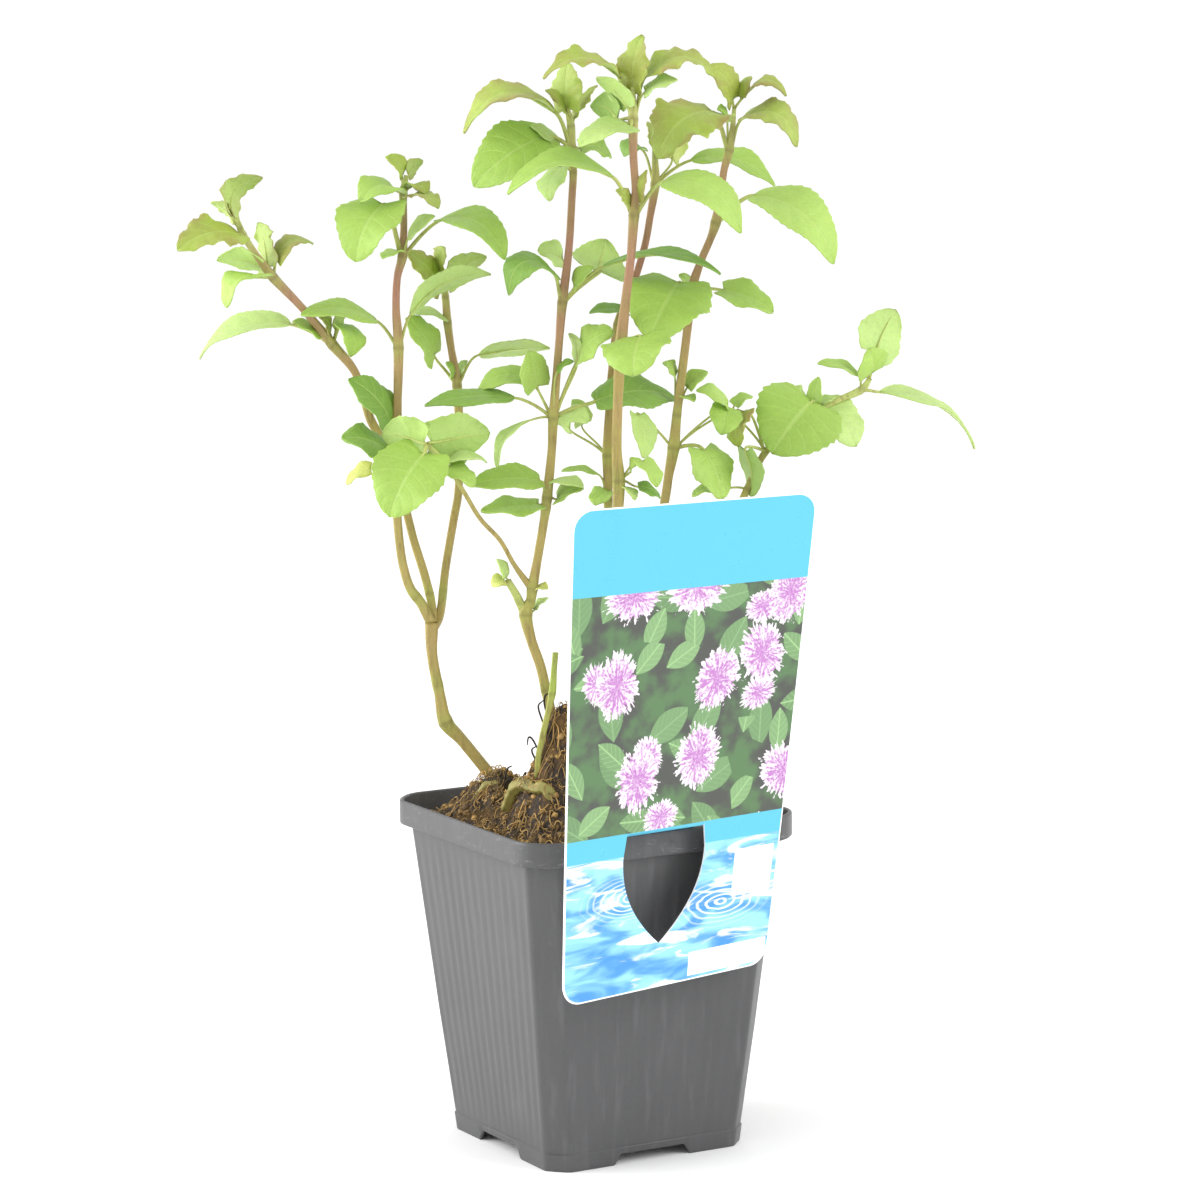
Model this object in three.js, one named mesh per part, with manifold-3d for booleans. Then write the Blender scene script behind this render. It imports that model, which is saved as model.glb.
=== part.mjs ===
// A potted mint plant: a square nursery pot of peat with six leafy shoots, a cut
// stem, two bits of runner and a plastic plant label hung over the rim.
//
// Millimetres, +Z up. The origin is on the ground under the middle of the pot, and
// the label hangs on the -Y side.

import * as THREE from 'three';
import { mergeVertices } from 'three/addons/utils/BufferGeometryUtils.js';
import Module from 'manifold-3d';

const wasm = await Module();
wasm.setup();

// ---- Driving dimensions ------------------------------------------------------

// Pot: the common 9 x 9 x 10 cm square nursery pot, one moulding.
const POT_HEIGHT = 98.7;
const RIM_WIDTH = 90;
const RIM_BAND = 7.2;              // height of the upright band round the rim
const SHOULDER_WIDTH = 83.7;       // outside of the wall just under the band
const BASE_WIDTH = 65;             // outside of the wall at the ground
const WALL = 1;
const CORNER_SHARE = 0.08;         // corner cut, as a share of the width there
const FLOOR_UNDERSIDE = 3.5;       // the floor stands clear of the ground
const FLOOR_THICKNESS = 1.3;
const NOTCH = { ground: 25, top: 21, height: 3.1 };   // gap in the foot of each side
const DRAIN_RADIUS = 3.6;
const DRAIN_OFFSET = 17;

// Soil: peat, lowest along the walls and heaped round the stems.
const SOIL_EDGE = 91.5;
const SOIL_CROWN = 10;             // rise from the wall to the middle
const SOIL_SIDES = 36;
const SOIL_RINGS = [1, 0.9, 0.79, 0.68, 0.57, 0.46, 0.35, 0.24, 0.14, 0.05];   // shares of the way out
const HEAPS = [
  { across: 2, away: -12, height: 20, radius: 17 },
  { across: -10, away: -14, height: 17, radius: 8 },
  { across: -30, away: 4, height: 8, radius: 11 },
];
const CLEARANCE = 0.35;            // between any two pieces that lie together
const ROOTED_BELOW = 90;           // a stem that starts lower than this stands in the soil

// Label: a thin plastic card. A tongue cut in it is folded back over the rim.
const LABEL = { width: 78, bottom: 56.2, top: 192.9, thickness: 0.8, corner: 6 };
const LABEL_FOOT = { x: -6.4, y: -51.6, twist: 13 };
const LABEL_HEAD = { x: 3.6, y: -54, twist: -1 };
const LABEL_GRID = { columns: 5, rows: 8 };
const WINDOW = { middle: -3.7, top: 101.4, width: 27.5, shoulder: 29.7, drop: 7, length: 32.8 };
const WINDOW_RUNS = [0, WINDOW.drop, 13, 18.5, 23.5, 27.5, 30.5];
const TONGUE_SHARES = [-1, -0.5, 0, 0.5, 1];
const TONGUE_ROUTE = [
  // [run from the fold, y, z]
  [2.6, -51.4, 100.4], [9.3, -44.6, 99.75], [11.9, -42.2, 98.9], [14.9, -40.6, 96.3],
  [21.1, -39.7, 90.2], [27.1, -39.2, 83.5], [32.8, -38.7, 77.7],
];
// The slit in the soil that the tongue stands in.
const POCKET = { left: -22.4, right: 8.9, front: -43, back: -37.6, bottom: 74, depth: 80 };

// Leaves and stems. BLADE_FOLD is how far a blade's edges rise, as a share of its
// half width, TOOTH_DIP the width of a waved blade in its dips, and STEM_SIDE the
// side of a stem's square section, as a share of the thickness it shows all round.
const BLADE_THICKNESS = 0.7;
const BLADE_FOLD = 0.14;
const TOOTH_DIP = 0.86;
const LARGE_LEAF = 12;             // blades at least this wide have waved edges
const SMALL_LEAF = 8;              // blades narrower than this have no fold
const STEM_SIDE = 0.8;
const STALK_THICKNESS = 1;
const STALK_WIDTH = 1.3;
const STALK_LIFT = 0.35;           // how far a stalk leaves upwards, as a share of its length
const STALK_ARRIVAL = 9;           // strongest pull of the blade on the end of its stalk
const ROOT_SHARE = 0.2;            // root of a stalk, from the stem's middle, by its thickness
const SHARP_TURNS = [70, 105, 130];   // a stalk gets one more bend past each of these

// Plant: its spread is turned against the pot by this angle about Z. Every place
// below is [across, away, up] in that turned frame.
const SPREAD_TURN = -29.3;

// Each shoot is a node: its stems with the leaves that grow on them. A route's
// points are [across, away, up, thickness]. A leaf is [height of its place on the
// stem, [reach of its stalk], [reach of its blade], width, arch, roll]: the reaches
// are steps in the plant's frame, the arch is how far the blade bows out of its
// straight line, and the roll turns the blade about that line, in degrees clockwise
// as seen from its tip.
const SHOOTS = [
  { name: 'shoot_left', color: 0x9dca52, stems: [
    // Trunk.
    { route: [
      [-20, 8, 86, 3.6], [-25.5, 8, 100, 3.6], [-32, 8, 108.5, 3.6], [-38.5, 7, 117, 3.6],
      [-43, 6, 122.5, 4.6], [-44.5, 5, 130.5, 3.5], [-46.5, 4, 142.5, 3.4], [-46.5, 4, 152, 4.4],
    ], leaves: [] },
    // Left branch.
    { route: [
      [-46.5, 4, 152, 3.4], [-49.5, 3, 158, 2.9], [-52.5, 2, 162.5, 2.8], [-54.5, 1, 170, 2.7],
      [-55.5, 0, 179.5, 2.7], [-56, -1, 191.5, 2.7], [-55.5, -2, 206, 3.3], [-55, -2, 217.5, 2.6],
      [-54.5, -2, 232.5, 3.2], [-55, -2, 243.5, 2.4], [-54.5, -2, 252.5, 2.3], [-53, -1, 258.5, 2.9],
      [-52.5, 0, 266.5, 2.2], [-52.5, 0, 276, 2.5], [-51.5, 0, 281.5, 1.5],
    ], leaves: [
      [258.5, [-5, -5, 15], [-8, -9, -15.5], 20, 3, 15],
      [258.5, [11, 2, 10], [19, -10, -10.5], 16, 5.5, -15],
      [258.5, [2, -2, 5.5], [7.5, -4, 6.5], 7, 1, -45],
      [258.5, [-1, -1, 1.5], [-4.5, -5, -1.5], 7, 0.5, 0],
      [276, [-2.5, -2, 1.5], [-9.5, -8, -3], 13, 3, 20],
      [276, [1.5, 1, 1.5], [5.5, -6, -1.5], 8, 2, -5],
      [276, [2, -2, -0.5], [8.5, -6, -3], 9, 2, -5],
      [278, [-0.5, 0, 3.5], [-4.5, -3, 5.5], 7, 2, 60],
      [277, [1.5, 1, 4.5], [4, 3, 4], 6, 1, 70],
      [232.5, [-6.5, 2, 7.5], [-21, -8, 3], 14, 2.5, 20],
      [232.5, [3.5, 3, 9], [23, 7, 11.5], 13, 4, 40],
      [206, [-1.5, -2, 5], [-11.5, -4, 13.5], 15, 2, 45],
      [201, [-2.5, -3, 2], [-12.5, -7, 5], 15, 1.5, 35],
      [206, [-7.5, 1, -8.5], [-7.5, 2, -4.5], 8, 1, 30],
    ] },
    // Middle branch, that leans far out to the left.
    { route: [
      [-46.5, 4, 152, 3.4], [-46.5, 6, 157, 2.8], [-48.5, 8, 165.5, 2.8], [-51.5, 9, 175.5, 2.7],
      [-54, 9, 186, 2.7], [-58, 8, 200.5, 2.7], [-63, 6, 210.5, 2.9], [-65, 5, 217, 2.5],
      [-67.5, 3, 225.5, 2.5], [-73.5, 0, 233.5, 3.2], [-79, -3, 241, 2.4], [-83, -5, 246, 2.3],
      [-89.5, -8, 253.5, 2.9], [-94, -10, 260, 2], [-97.5, -12, 266, 2.2], [-99, -13, 270.5, 1.4],
    ], leaves: [
      [268, [-2, 0, 3], [8.5, 4, 11], 12, 5, 55],
      [266, [-1, -2, 0], [-16.5, -12, -3], 16, 2.5, 25],
      [266, [-2.5, 1, 3.5], [-6.5, 2, 5.5], 7, 1, -40],
      [253.5, [1, 2, 4.5], [10.5, 4, 4.5], 12, 3.5, -10],
      [253.5, [-1.5, 2, 2.5], [-2.5, 6, 12.5], 13, 0.5, -95],
      [253.5, [-2.5, -1, 3], [-13.5, 4, 2], 11, 1, -40],
      [253.5, [-3, -2, 0], [-10, -6, -8], 14, 4, 0],
      [233.5, [-11.5, -4, 6], [-27.5, 6, -9.5], 16, 4.5, 20],
      [233.5, [3.5, -1, 5.5], [2, -3, -9], 12, 2.5, 25],
      [233.5, [-0.5, 0, 3.5], [-3, -3, 5.5], 6, 1, 60],
      [233.5, [1, 1, 4], [3.5, 2, 5], 6, 1, 55],
      [233.5, [-3, -1, 2.5], [-8, -2, 4.5], 7, 1, 30],
    ] },
    // Right branch.
    { route: [
      [-46, 4, 150.5, 3], [-44, 7, 154.5, 2.6], [-42.5, 11, 166.5, 2.5], [-40, 14, 180.5, 2.5],
      [-38.5, 16, 189, 2.5], [-38, 17, 203.5, 2.4], [-38.5, 17, 219.5, 2.9], [-40, 17, 230, 2.2],
      [-41, 17, 238, 2.5], [-41.5, 17, 245.5, 2.2], [-42.5, 17, 253, 1.5], [-43, 17, 257, 1.1],
    ], leaves: [
      [219.5, [-6.5, -3, 9], [-7.5, -5, 11.5], 14, 1, 55],
      [219.5, [6.5, 2, 8.5], [20.5, 4, 2], 12, 0.5, 30],
      [219.5, [-1, -1, 2.5], [-2, -1, 4.5], 5, 1, 50],
      [219.5, [1, 1, 2.5], [2, 1, 4.5], 5, 1, 55],
      [245.5, [-1.5, -1, 2.5], [-9, -5, 11], 13, 1.5, 50],
      [245.5, [1, 1, 3.5], [11, 2, 8], 12, 2, 45],
      [238, [-1, -2, 1.5], [-9, -4, 2], 9, 1, 15],
      [253, [-0.5, 0, 1], [1.5, -3, 6], 9, 0.5, -90],
    ] },
  ] },
  { name: 'shoot_centre', color: 0x97c64c, stems: [
    // Main stem.
    { route: [
      [-11, -8, 82, 3.2], [-11, -8, 115.5, 3.2], [-12, -8, 126.5, 3.2], [-13.5, -8, 134, 3.2],
      [-15, -8, 141, 3.1], [-17.5, -8, 148.5, 3.1], [-19, -8, 156, 4.2], [-17.5, -8, 160, 2.9],
      [-17, -8, 163.5, 3.5], [-15.5, -8, 171.5, 2.8], [-13.5, -7, 182.5, 2.8], [-12.5, -7, 189.5, 3.3],
      [-11, -6, 203, 2.7], [-10.5, -5, 212, 3.2], [-9.5, -4, 223, 2.6], [-8.5, -3, 234.5, 2.5],
      [-7.5, -2, 245, 3.1], [-5.5, -1, 260, 2.4], [-4.5, 0, 274, 2.4], [-4, 0, 282, 2.4],
      [-4.5, 0, 289, 3], [-4.5, 0, 295, 2.5], [-5.5, 0, 300, 1.6],
    ], leaves: [
      [156, [2.5, 1, 1], [4, 1, 3.5], 4, 0.5, -10],
      [163.5, [1.5, -1, 0], [3, -1, 0], 5, 0.5, -15],
      [186.5, [-2, -1, 1], [-16.5, -5, -0.5], 14, 0, 15],
      [189.5, [3, 0, -0.5], [7.5, -3, 3.5], 9, 1, -30],
      [189.5, [2, -2, 5], [8.5, -6, -1], 8, 1, -10],
      [189.5, [-2, -2, 5], [-19.5, -5, 0], 14, 1, 25],
      [212, [-11, -2, 6], [-25.5, -6, -0.5], 14, 1, 15],
      [212, [-7, -3, -0.5], [-9.5, -6, -13], 8, 3, -10],
      [212, [-8, 2, 11.5], [-14, 2, -4], 12, 2.5, 25],
      [212, [-4.5, 0, 9], [-2, -3, 10.5], 12, 0, 100],
      [212, [7, 2, 15], [-2, 2, 9], 7, 1, -75],
      [212, [8, 1, 18], [9.5, -5, 7], 14, 1.5, -45],
      [212, [12, 5, 4], [24, 8, 0], 17, 3, -30],
      [212, [1.5, -1, 13.5], [4.5, -1, 3], 5, 0.5, -25],
      [212, [3.5, 3, 1.5], [6.5, -3, -3], 9, 1, -25],
      [245, [-3, -3, 9], [-12.5, -4, -6.5], 16, 7, 20],
      [245, [0, 2, 12], [-7, 4, 2.5], 10, 1, -55],
      [245, [11, 3, 8.5], [1.5, 16, 7.5], 18, 2, 155],
      [245, [12, 0, 10], [33.5, -8, -1], 15, 4, -5],
      [245, [3.5, -1, 4.5], [5.5, -2, 5.5], 8, 1, -40],
      [289, [-4.5, -4, 10], [-26.5, -6, -5], 17, 8.5, 15],
      [289, [-7, -4, 3], [-21, -9, -13], 20, 3, 45],
      [289, [-3.5, -1, 0.5], [-8, -3, 6], 9, 1, 30],
      [282, [-3, -3, 1.5], [-4, -4, -9.5], 13, 2, -10],
      [289, [2.5, 2, -0.5], [9, 2, -3], 13, 2, -25],
      [297.5, [-0.5, -2, 2.5], [0, 1, 13], 12, 0.5, 40],
      [295, [1, 1, 2], [6.5, 2, 9.5], 7, 1, -10],
      [295, [-1.5, -2, 4], [-5.5, -3, 6.5], 6, 1, 45],
    ] },
    // Thin side shoot that crosses in front of the left shoot.
    { route: [
      [-17, -8, 163, 2.2], [-22, -10, 170.5, 1.4], [-26, -12, 178, 1.3], [-31.5, -14, 184.5, 1.3],
      [-36, -16, 192.5, 1.3], [-41, -18, 201, 1.3], [-46, -20, 206.5, 1.6],
    ], leaves: [
      [206.5, [-1, -2, -2.5], [-10, -6, -17], 22, 3, 40],
      [206.5, [-1, 0, 0.5], [-12, 4, 2.5], 16, 1, -60],
      [206.5, [1, 1, 0.5], [16.5, 4, 2.5], 17, 0, 70],
      [201, [1, -1, 0.5], [11, 3, -0.5], 7, 2, -15],
      [201, [1, -1, -1], [7.5, -2, -5.5], 9, 1, -20],
    ] },
    // Short spur at the lowest joint.
    { route: [
      [-19.5, -8, 156.5, 2.6], [-21.5, -9, 161.5, 2.4], [-24, -10, 166, 2],
    ], leaves: [
      [166, [-0.5, 0, 1], [-2.5, -1, 5.5], 5, 1, 50],
      [166, [-1, 0, 0], [-3.5, -1, -1.5], 6, 1, 30],
    ] },
  ] },
  { name: 'shoot_front', color: 0xa4cf58, stems: [
    { route: [
      [3, -20, 82, 3.6], [3, -20, 124.5, 3.6], [4, -20, 144.5, 3.4], [5.5, -19, 164.5, 3.4],
      [7.5, -18, 184.5, 3.3], [8, -18, 195.5, 4], [7.5, -18, 204.5, 3.2], [8, -18, 218.5, 3.1],
      [9, -18, 234, 3.9], [10.5, -18, 247, 2.9], [12, -18, 258.5, 2.6], [13, -18, 270.5, 3.3],
      [13.5, -18, 277.5, 2.4], [13, -18, 287.5, 2.5], [13, -18, 297.5, 3.2], [13, -18, 303, 2],
      [13, -18, 306.5, 1.2],
    ], leaves: [
      [270.5, [-6, -3, 11], [-30, -6, -3.5], 17, 6.5, 15],
      [270.5, [8.5, -3, 9.5], [22, -6, -14], 17, 6, -25],
      [270.5, [2, -1, 3.5], [1.5, -1, 9.5], 5, 1, -65],
      [270.5, [-1.5, -1, 3], [-3.5, -2, 4.5], 6, 1, 55],
      [297.5, [-3.5, 1, 11.5], [-22, -5, 0.5], 14, 5.5, 15],
      [302, [0, 1, 3], [2.5, 1, 16], 13, 1, -20],
      [297.5, [4, 1, 12], [20, 2, -1], 14, 5.8, -20],
      [297.5, [3.5, -1, 7.5], [9, -2, 3.5], 9, 1, -25],
      [297.5, [-1.5, -1, 3], [-8.5, -2, 9], 10, 1, -25],
      [297.5, [-4.5, 3, 0], [-7.5, 3, 3.5], 13, 2, -50],
      [297.5, [-1, -3, -2], [-14.5, -6, -5], 14, 2, 15],
      [234, [5.5, -4, 2.5], [-2.5, -14, -9.5], 20, 1.5, -10],
      [195.5, [3.5, -1, 3], [3, -1, 3], 5, 1, -35],
      [195.5, [6.5, -2, 5.5], [4.5, -3, -7], 9, 1, 0],
      [195.5, [5.5, 0, -2], [6.5, 2, -3.5], 7, 1, -25],
      [195.5, [2, -1, -2], [2.5, -2, -3.5], 6, 1, 10],
    ] },
  ] },
  { name: 'shoot_back', color: 0x93c04a, stems: [
    { route: [
      [3.5, 0, 82, 3], [3.5, 0, 119, 3], [4.5, 8, 151.5, 2.8], [5, 13, 186, 2.8],
      [5, 14, 199, 3.5], [5.5, 14, 211, 2.6], [6.5, 14, 224, 2.5], [8.5, 14, 237, 3.3],
      [11, 14, 244, 2.4], [14, 14, 252, 2.3], [16.5, 14, 260.5, 2.3], [18, 14, 268.5, 2.3],
      [19.5, 14, 277.5, 3], [19.5, 14, 284.5, 2], [19.5, 14, 290, 1.3],
    ], leaves: [
      [237, [2.5, -2, 3.5], [-11, -2, 0.5], 9, 1, 15],
      [199, [-7.5, -1, 9], [-2.5, -1, 7.5], 8, 1, 65],
      [199, [-11, 1, 7.5], [-5.5, 3, 2.5], 7, 1, -50],
      [186, [-3, -1, 7.5], [-10.5, -2, 1.5], 5, 1, 15],
      [186, [0.5, -3, 2.5], [-4.5, -3, -3.5], 11, 1, 5],
      [277.5, [5, 1, 7], [5.5, 2, 9.5], 11, 2, 60],
      [277.5, [10.5, 2, 6.5], [24.5, -3, -7], 14, 4, -20],
      [277.5, [-4, 0, 10], [-5, -2, -2], 11, 2, 15],
      [286.5, [0, 0, 2], [-2, 0, 7], 7, 0.5, 25],
    ] },
  ] },
  { name: 'shoot_right', color: 0x9fcb54, stems: [
    { route: [
      [10.5, -6, 82, 3.2], [10.5, -6, 120, 3.2], [14, -3, 147.5, 3], [18.5, 0, 173, 2.9],
      [21.5, 2, 188, 2.9], [22.5, 2, 194.5, 2.9], [24, 2, 202.5, 3.8], [25, 2, 212, 2.8],
      [26.5, 2, 223.5, 2.8], [28, 2, 235, 2.7], [29.5, 2, 247.5, 3.3], [32, 2, 255.5, 2.4],
      [35, 2, 262.5, 2.4], [36.5, 2, 267, 3.2], [38, 2, 275, 2.3], [39, 2, 282, 2.3],
      [40.5, 2, 287.5, 2.8], [41.5, 2, 294, 1.8], [42, 2, 299.5, 1.2],
    ], leaves: [
      [247.5, [-4, -3, 2.5], [-8.5, -19, -14], 25, 2, 20],
      [247.5, [9, 1, 0], [14.5, -3, -6], 14, 1, -25],
      [247.5, [-1.5, 2, 1], [-2, 2, 3.5], 5, 1, -75],
      [267, [11, -1, 7.5], [23, -8, -19], 20, 6, -25],
      [267, [2, 1, 4.5], [3.5, 2, 2], 5, 1, -10],
      [287.5, [-5, -3, 11], [-16, -9, -12.5], 22, 5, 25],
      [287.5, [4, 0, 9], [15.5, -5, -8], 13, 6.5, -25],
      [287.5, [-0.5, -2, 9.5], [-3, -3, 2.5], 6, 1, 45],
      [299.5, [-0.5, 0, 2.5], [-7, -3, 10], 12, 2, 55],
      [299.5, [2, 1, 3], [3, 1, 6], 7, 1, -10],
      [299.5, [4, 0, 4.5], [11, -3, -1], 9, 4, -15],
      [202.5, [15.5, 0, 12], [-9, -3, 5], 9, 2, 30],
      [202.5, [15.5, -1, 11.5], [-2, -7, -7], 10, 1, 25],
      [202.5, [-10.5, -5, 10], [2, -4, -12], 11, 1, 25],
      [202.5, [8.5, -2, -0.5], [5.5, -4, -14], 16, 1, -10],
      [212, [3, 1, 7.5], [6, 1, 4.5], 8, 1, -25],
      [212, [-0.5, 0, 11], [-3.5, -1, 4], 7, 1, 35],
      [212, [2, -1, 5], [3, -3, -1], 5, 0.5, -5],
    ] },
  ] },
  { name: 'shoot_side', color: 0xa6d05c, stems: [
    { route: [
      [15.5, -12, 82, 2.8], [15.5, -12, 120, 2.8], [25, -8, 145, 2.6], [37, -2, 173, 2.4],
      [45, 2, 190, 2.3], [50.5, 5, 200.5, 2.2], [59.5, 9, 208, 2], [65, 12, 211.5, 2.6],
      [72.5, 15, 214.5, 1.9], [79, 18, 217, 2.4], [81.5, 20, 220, 1.5],
    ], leaves: [
      [211.5, [-1, -3, 3], [-12, -9, -14], 27, 3, 45],
      [211.5, [2.5, 2, 1.5], [9.5, -6, -11.5], 17, 2, -20],
      [211.5, [-2.5, 3, 1.5], [-4.5, 5, 4], 8, 1, -60],
      [211.5, [0, 0, 1.5], [1, 0, 8.5], 6, 0.3, -45],
      [211.5, [2, 1, 2], [4.5, 1, 2], 5, 0.5, -15],
      [220, [2, 3, 7.5], [6, 5, 12], 16, 1, 100],
      [220, [0.5, -1, 2], [-1, -6, 7.5], 12, 1, 135],
      [217, [-1, -1, 4.5], [-12, -3, 4], 8, 1, 20],
      [217, [5.5, 2, -1], [29.5, 10, -17.5], 14, 5, -15],
      [200.5, [-6, -6, 1], [2, 1, -13.5], 13, 1, 0],
      [200.5, [-6, -2, 12], [-2, -3, -10], 11, 2, -20],
      [200.5, [-9, 0, 13.5], [5.5, 2, 2.5], 6, 1, -15],
      [190, [-10, -2, 0.5], [-6, -1, -2], 6, 1, 15],
    ] },
  ] },
  { name: 'cut_stem', color: 0xa58a55, stems: [
    { route: [
      [-16, -19, 82, 2], [-16, -19, 117.5, 2], [-13.5, -18, 122.5, 2], [-12.5, -17, 129, 2],
      [-11.5, -16, 135, 2.4], [-11, -16, 141, 1.9], [-10.5, -16, 146, 1.9],
    ], leaves: [] },
  ] },
  { name: 'runner_near', color: 0xb7c878, stems: [
    { route: [
      [-35.5, 0.5, 97, 3.2], [-32.3, -0.3, 103, 3.6], [-28.5, -1, 105, 4], [-24.8, -1.6, 102.6, 3.6],
      [-22, -2, 96.5, 3.2],
    ], leaves: [] },
  ] },
  { name: 'runner_far', color: 0xb7c878, stems: [
    { route: [
      [-25.5, -13.5, 100, 3], [-23, -16.4, 106.4, 3.4], [-19.8, -20.2, 108.8, 3.8],
      [-16.8, -23.8, 108, 3], [-13.6, -25.4, 108.2, 3.8], [-10.4, -26.4, 103, 3],
    ], leaves: [] },
  ] },
];

// ---- Solids ------------------------------------------------------------------

const UP = new THREE.Vector3(0, 0, 1);
const FRONT = new THREE.Vector3(0, -1, 0);
const vector = ([x, y, z]) => new THREE.Vector3(x, y, z);
const { lerp, degToRad, radToDeg } = THREE.MathUtils;

// An indexed geometry of points and triangles becomes a solid, and back.
function solid(geometry) {
  const vertProperties = new Float32Array(geometry.attributes.position.array);
  const triVerts = new Uint32Array(geometry.index.array);
  return new wasm.Manifold(new wasm.Mesh({ numProp: 3, vertProperties, triVerts }));
}

function geometryOf(body) {
  const mesh = body.getMesh();
  const geometry = new THREE.BufferGeometry();
  geometry.setAttribute('position', new THREE.BufferAttribute(mesh.vertProperties, 3));
  geometry.setIndex(new THREE.BufferAttribute(mesh.triVerts, 1));
  return geometry;
}

function indexed(points, triangles) {
  return new THREE.BufferGeometry().setFromPoints(points).setIndex(triangles);
}

// Everything fused. A loose scrap is dropped and a sealed hollow is filled, because
// only the largest closed surface is kept.
function join(bodies) {
  const parts = bodies.reduce((whole, body) => whole.add(body)).decompose();
  return parts.sort((a, b) => b.volume() - a.volume())[0];
}

// Rings with the same number of points, skinned in order and capped at both ends.
function loft(rings) {
  const count = rings[0].length;
  const triangles = [];
  for (let ring = 0; ring < rings.length - 1; ring++) {
    for (let i = 0; i < count; i++) {
      const a = ring * count + i;
      const b = ring * count + (i + 1) % count;
      triangles.push(a, b, b + count, a, b + count, a + count);
    }
  }
  const last = (rings.length - 1) * count;
  for (let i = 1; i < count - 1; i++) {
    triangles.push(0, i + 1, i, last, last + i, last + i + 1);
  }
  return indexed(rings.flat(), triangles);
}

// Two like grids of points, joined by a wall round their edge into one slab. Both
// faces are split into triangles alike, so a bent slab never crosses itself.
function slab(top, bottom) {
  const rows = top.length;
  const columns = top[0].length;
  const under = rows * columns;
  const triangles = [];
  const quad = (a, b, c, d) => triangles.push(a, b, c, a, c, d);
  const at = (row, column) => row * columns + column;
  for (let r = 0; r < rows - 1; r++) {
    for (let c = 0; c < columns - 1; c++) {
      quad(at(r, c), at(r + 1, c), at(r + 1, c + 1), at(r, c + 1));
      quad(under + at(r, c), under + at(r, c + 1), under + at(r + 1, c + 1), under + at(r + 1, c));
    }
    const end = columns - 1;
    quad(at(r, 0), under + at(r, 0), under + at(r + 1, 0), at(r + 1, 0));
    quad(at(r + 1, end), under + at(r + 1, end), under + at(r, end), at(r, end));
  }
  for (let c = 0; c < columns - 1; c++) {
    const end = rows - 1;
    quad(at(0, c + 1), under + at(0, c + 1), under + at(0, c), at(0, c));
    quad(at(end, c), under + at(end, c), under + at(end, c + 1), at(end, c + 1));
  }
  return indexed([...top.flat(), ...bottom.flat()], triangles);
}

// An upright prism on the XY plane.
function prism(shape, depth) {
  const geometry = new THREE.ExtrudeGeometry(shape, { depth, bevelEnabled: false, curveSegments: 8 });
  geometry.deleteAttribute('normal');
  geometry.deleteAttribute('uv');
  return solid(mergeVertices(geometry));
}

const outline = (points) => new THREE.Shape(points.map(([x, y]) => new THREE.Vector2(x, y)));

// ---- Pot ---------------------------------------------------------------------

// A level square ring with cut corners.
function squareRing(width, z) {
  const half = width / 2;
  const flat = half - width * CORNER_SHARE;
  return [
    [flat, -half], [half, -flat], [half, flat], [flat, half],
    [-flat, half], [-half, flat], [-half, -flat], [-flat, -half],
  ].map(([x, y]) => new THREE.Vector3(x, y, z));
}

const SHOULDER = POT_HEIGHT - RIM_BAND;
const FLOOR = FLOOR_UNDERSIDE + FLOOR_THICKNESS;
const wallWidth = (z) => lerp(BASE_WIDTH, SHOULDER_WIDTH, z / SHOULDER);
const insideWidth = (z) => wallWidth(z) - 2 * WALL;

// The wall with its rim band and floor, as one profile from the underside of the
// floor round the outside and back down the inside.
function potShell() {
  return solid(loft([
    squareRing(insideWidth(0), FLOOR_UNDERSIDE),
    squareRing(insideWidth(0), 0),
    squareRing(BASE_WIDTH, 0),
    squareRing(SHOULDER_WIDTH, SHOULDER),
    squareRing(RIM_WIDTH, SHOULDER),
    squareRing(RIM_WIDTH, POT_HEIGHT),
    squareRing(RIM_WIDTH - 2 * WALL, POT_HEIGHT),
    squareRing(RIM_WIDTH - 2 * WALL, SHOULDER + WALL),
    squareRing(insideWidth(SHOULDER), SHOULDER + WALL),
    squareRing(insideWidth(FLOOR), FLOOR),
  ]));
}

function buildPot() {
  const notch = outline([
    [-NOTCH.ground / 2, -1], [NOTCH.ground / 2, -1], [NOTCH.ground / 2, 0],
    [NOTCH.top / 2, NOTCH.height], [-NOTCH.top / 2, NOTCH.height], [-NOTCH.ground / 2, 0],
  ]);
  const alongY = prism(notch, 2 * BASE_WIDTH).translate([0, 0, -BASE_WIDTH]).rotate([90, 0, 0]);
  const alongX = alongY.rotate([0, 0, 90]);
  const drain = prism(new THREE.Shape().absarc(0, 0, DRAIN_RADIUS, 0, 2 * Math.PI), 2 * FLOOR);
  let pot = potShell().subtract(alongY).subtract(alongX).subtract(drain);
  for (const [x, y] of [[1, 1], [1, -1], [-1, -1], [-1, 1]]) {
    pot = pot.subtract(drain.translate([x * DRAIN_OFFSET, y * DRAIN_OFFSET, 0]));
  }
  return pot;
}

// ---- Stems -------------------------------------------------------------------

// The part of a direction that is square to another one.
function squareTo(direction, tangent) {
  return direction.clone().addScaledVector(tangent, -direction.dot(tangent)).normalize();
}

// The place, direction and thickness of a smooth stem at t, from 0 to 1.
function alongRoute(route, t) {
  const curve = new THREE.CatmullRomCurve3(route.map(vector), false, 'catmullrom', 0.5);
  const place = t * (route.length - 1);
  const span = Math.min(Math.floor(place), route.length - 2);
  const thickness = lerp(route[span][3], route[span + 1][3], place - span);
  return { point: curve.getPoint(t), tangent: curve.getTangent(t), thickness };
}

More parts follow.
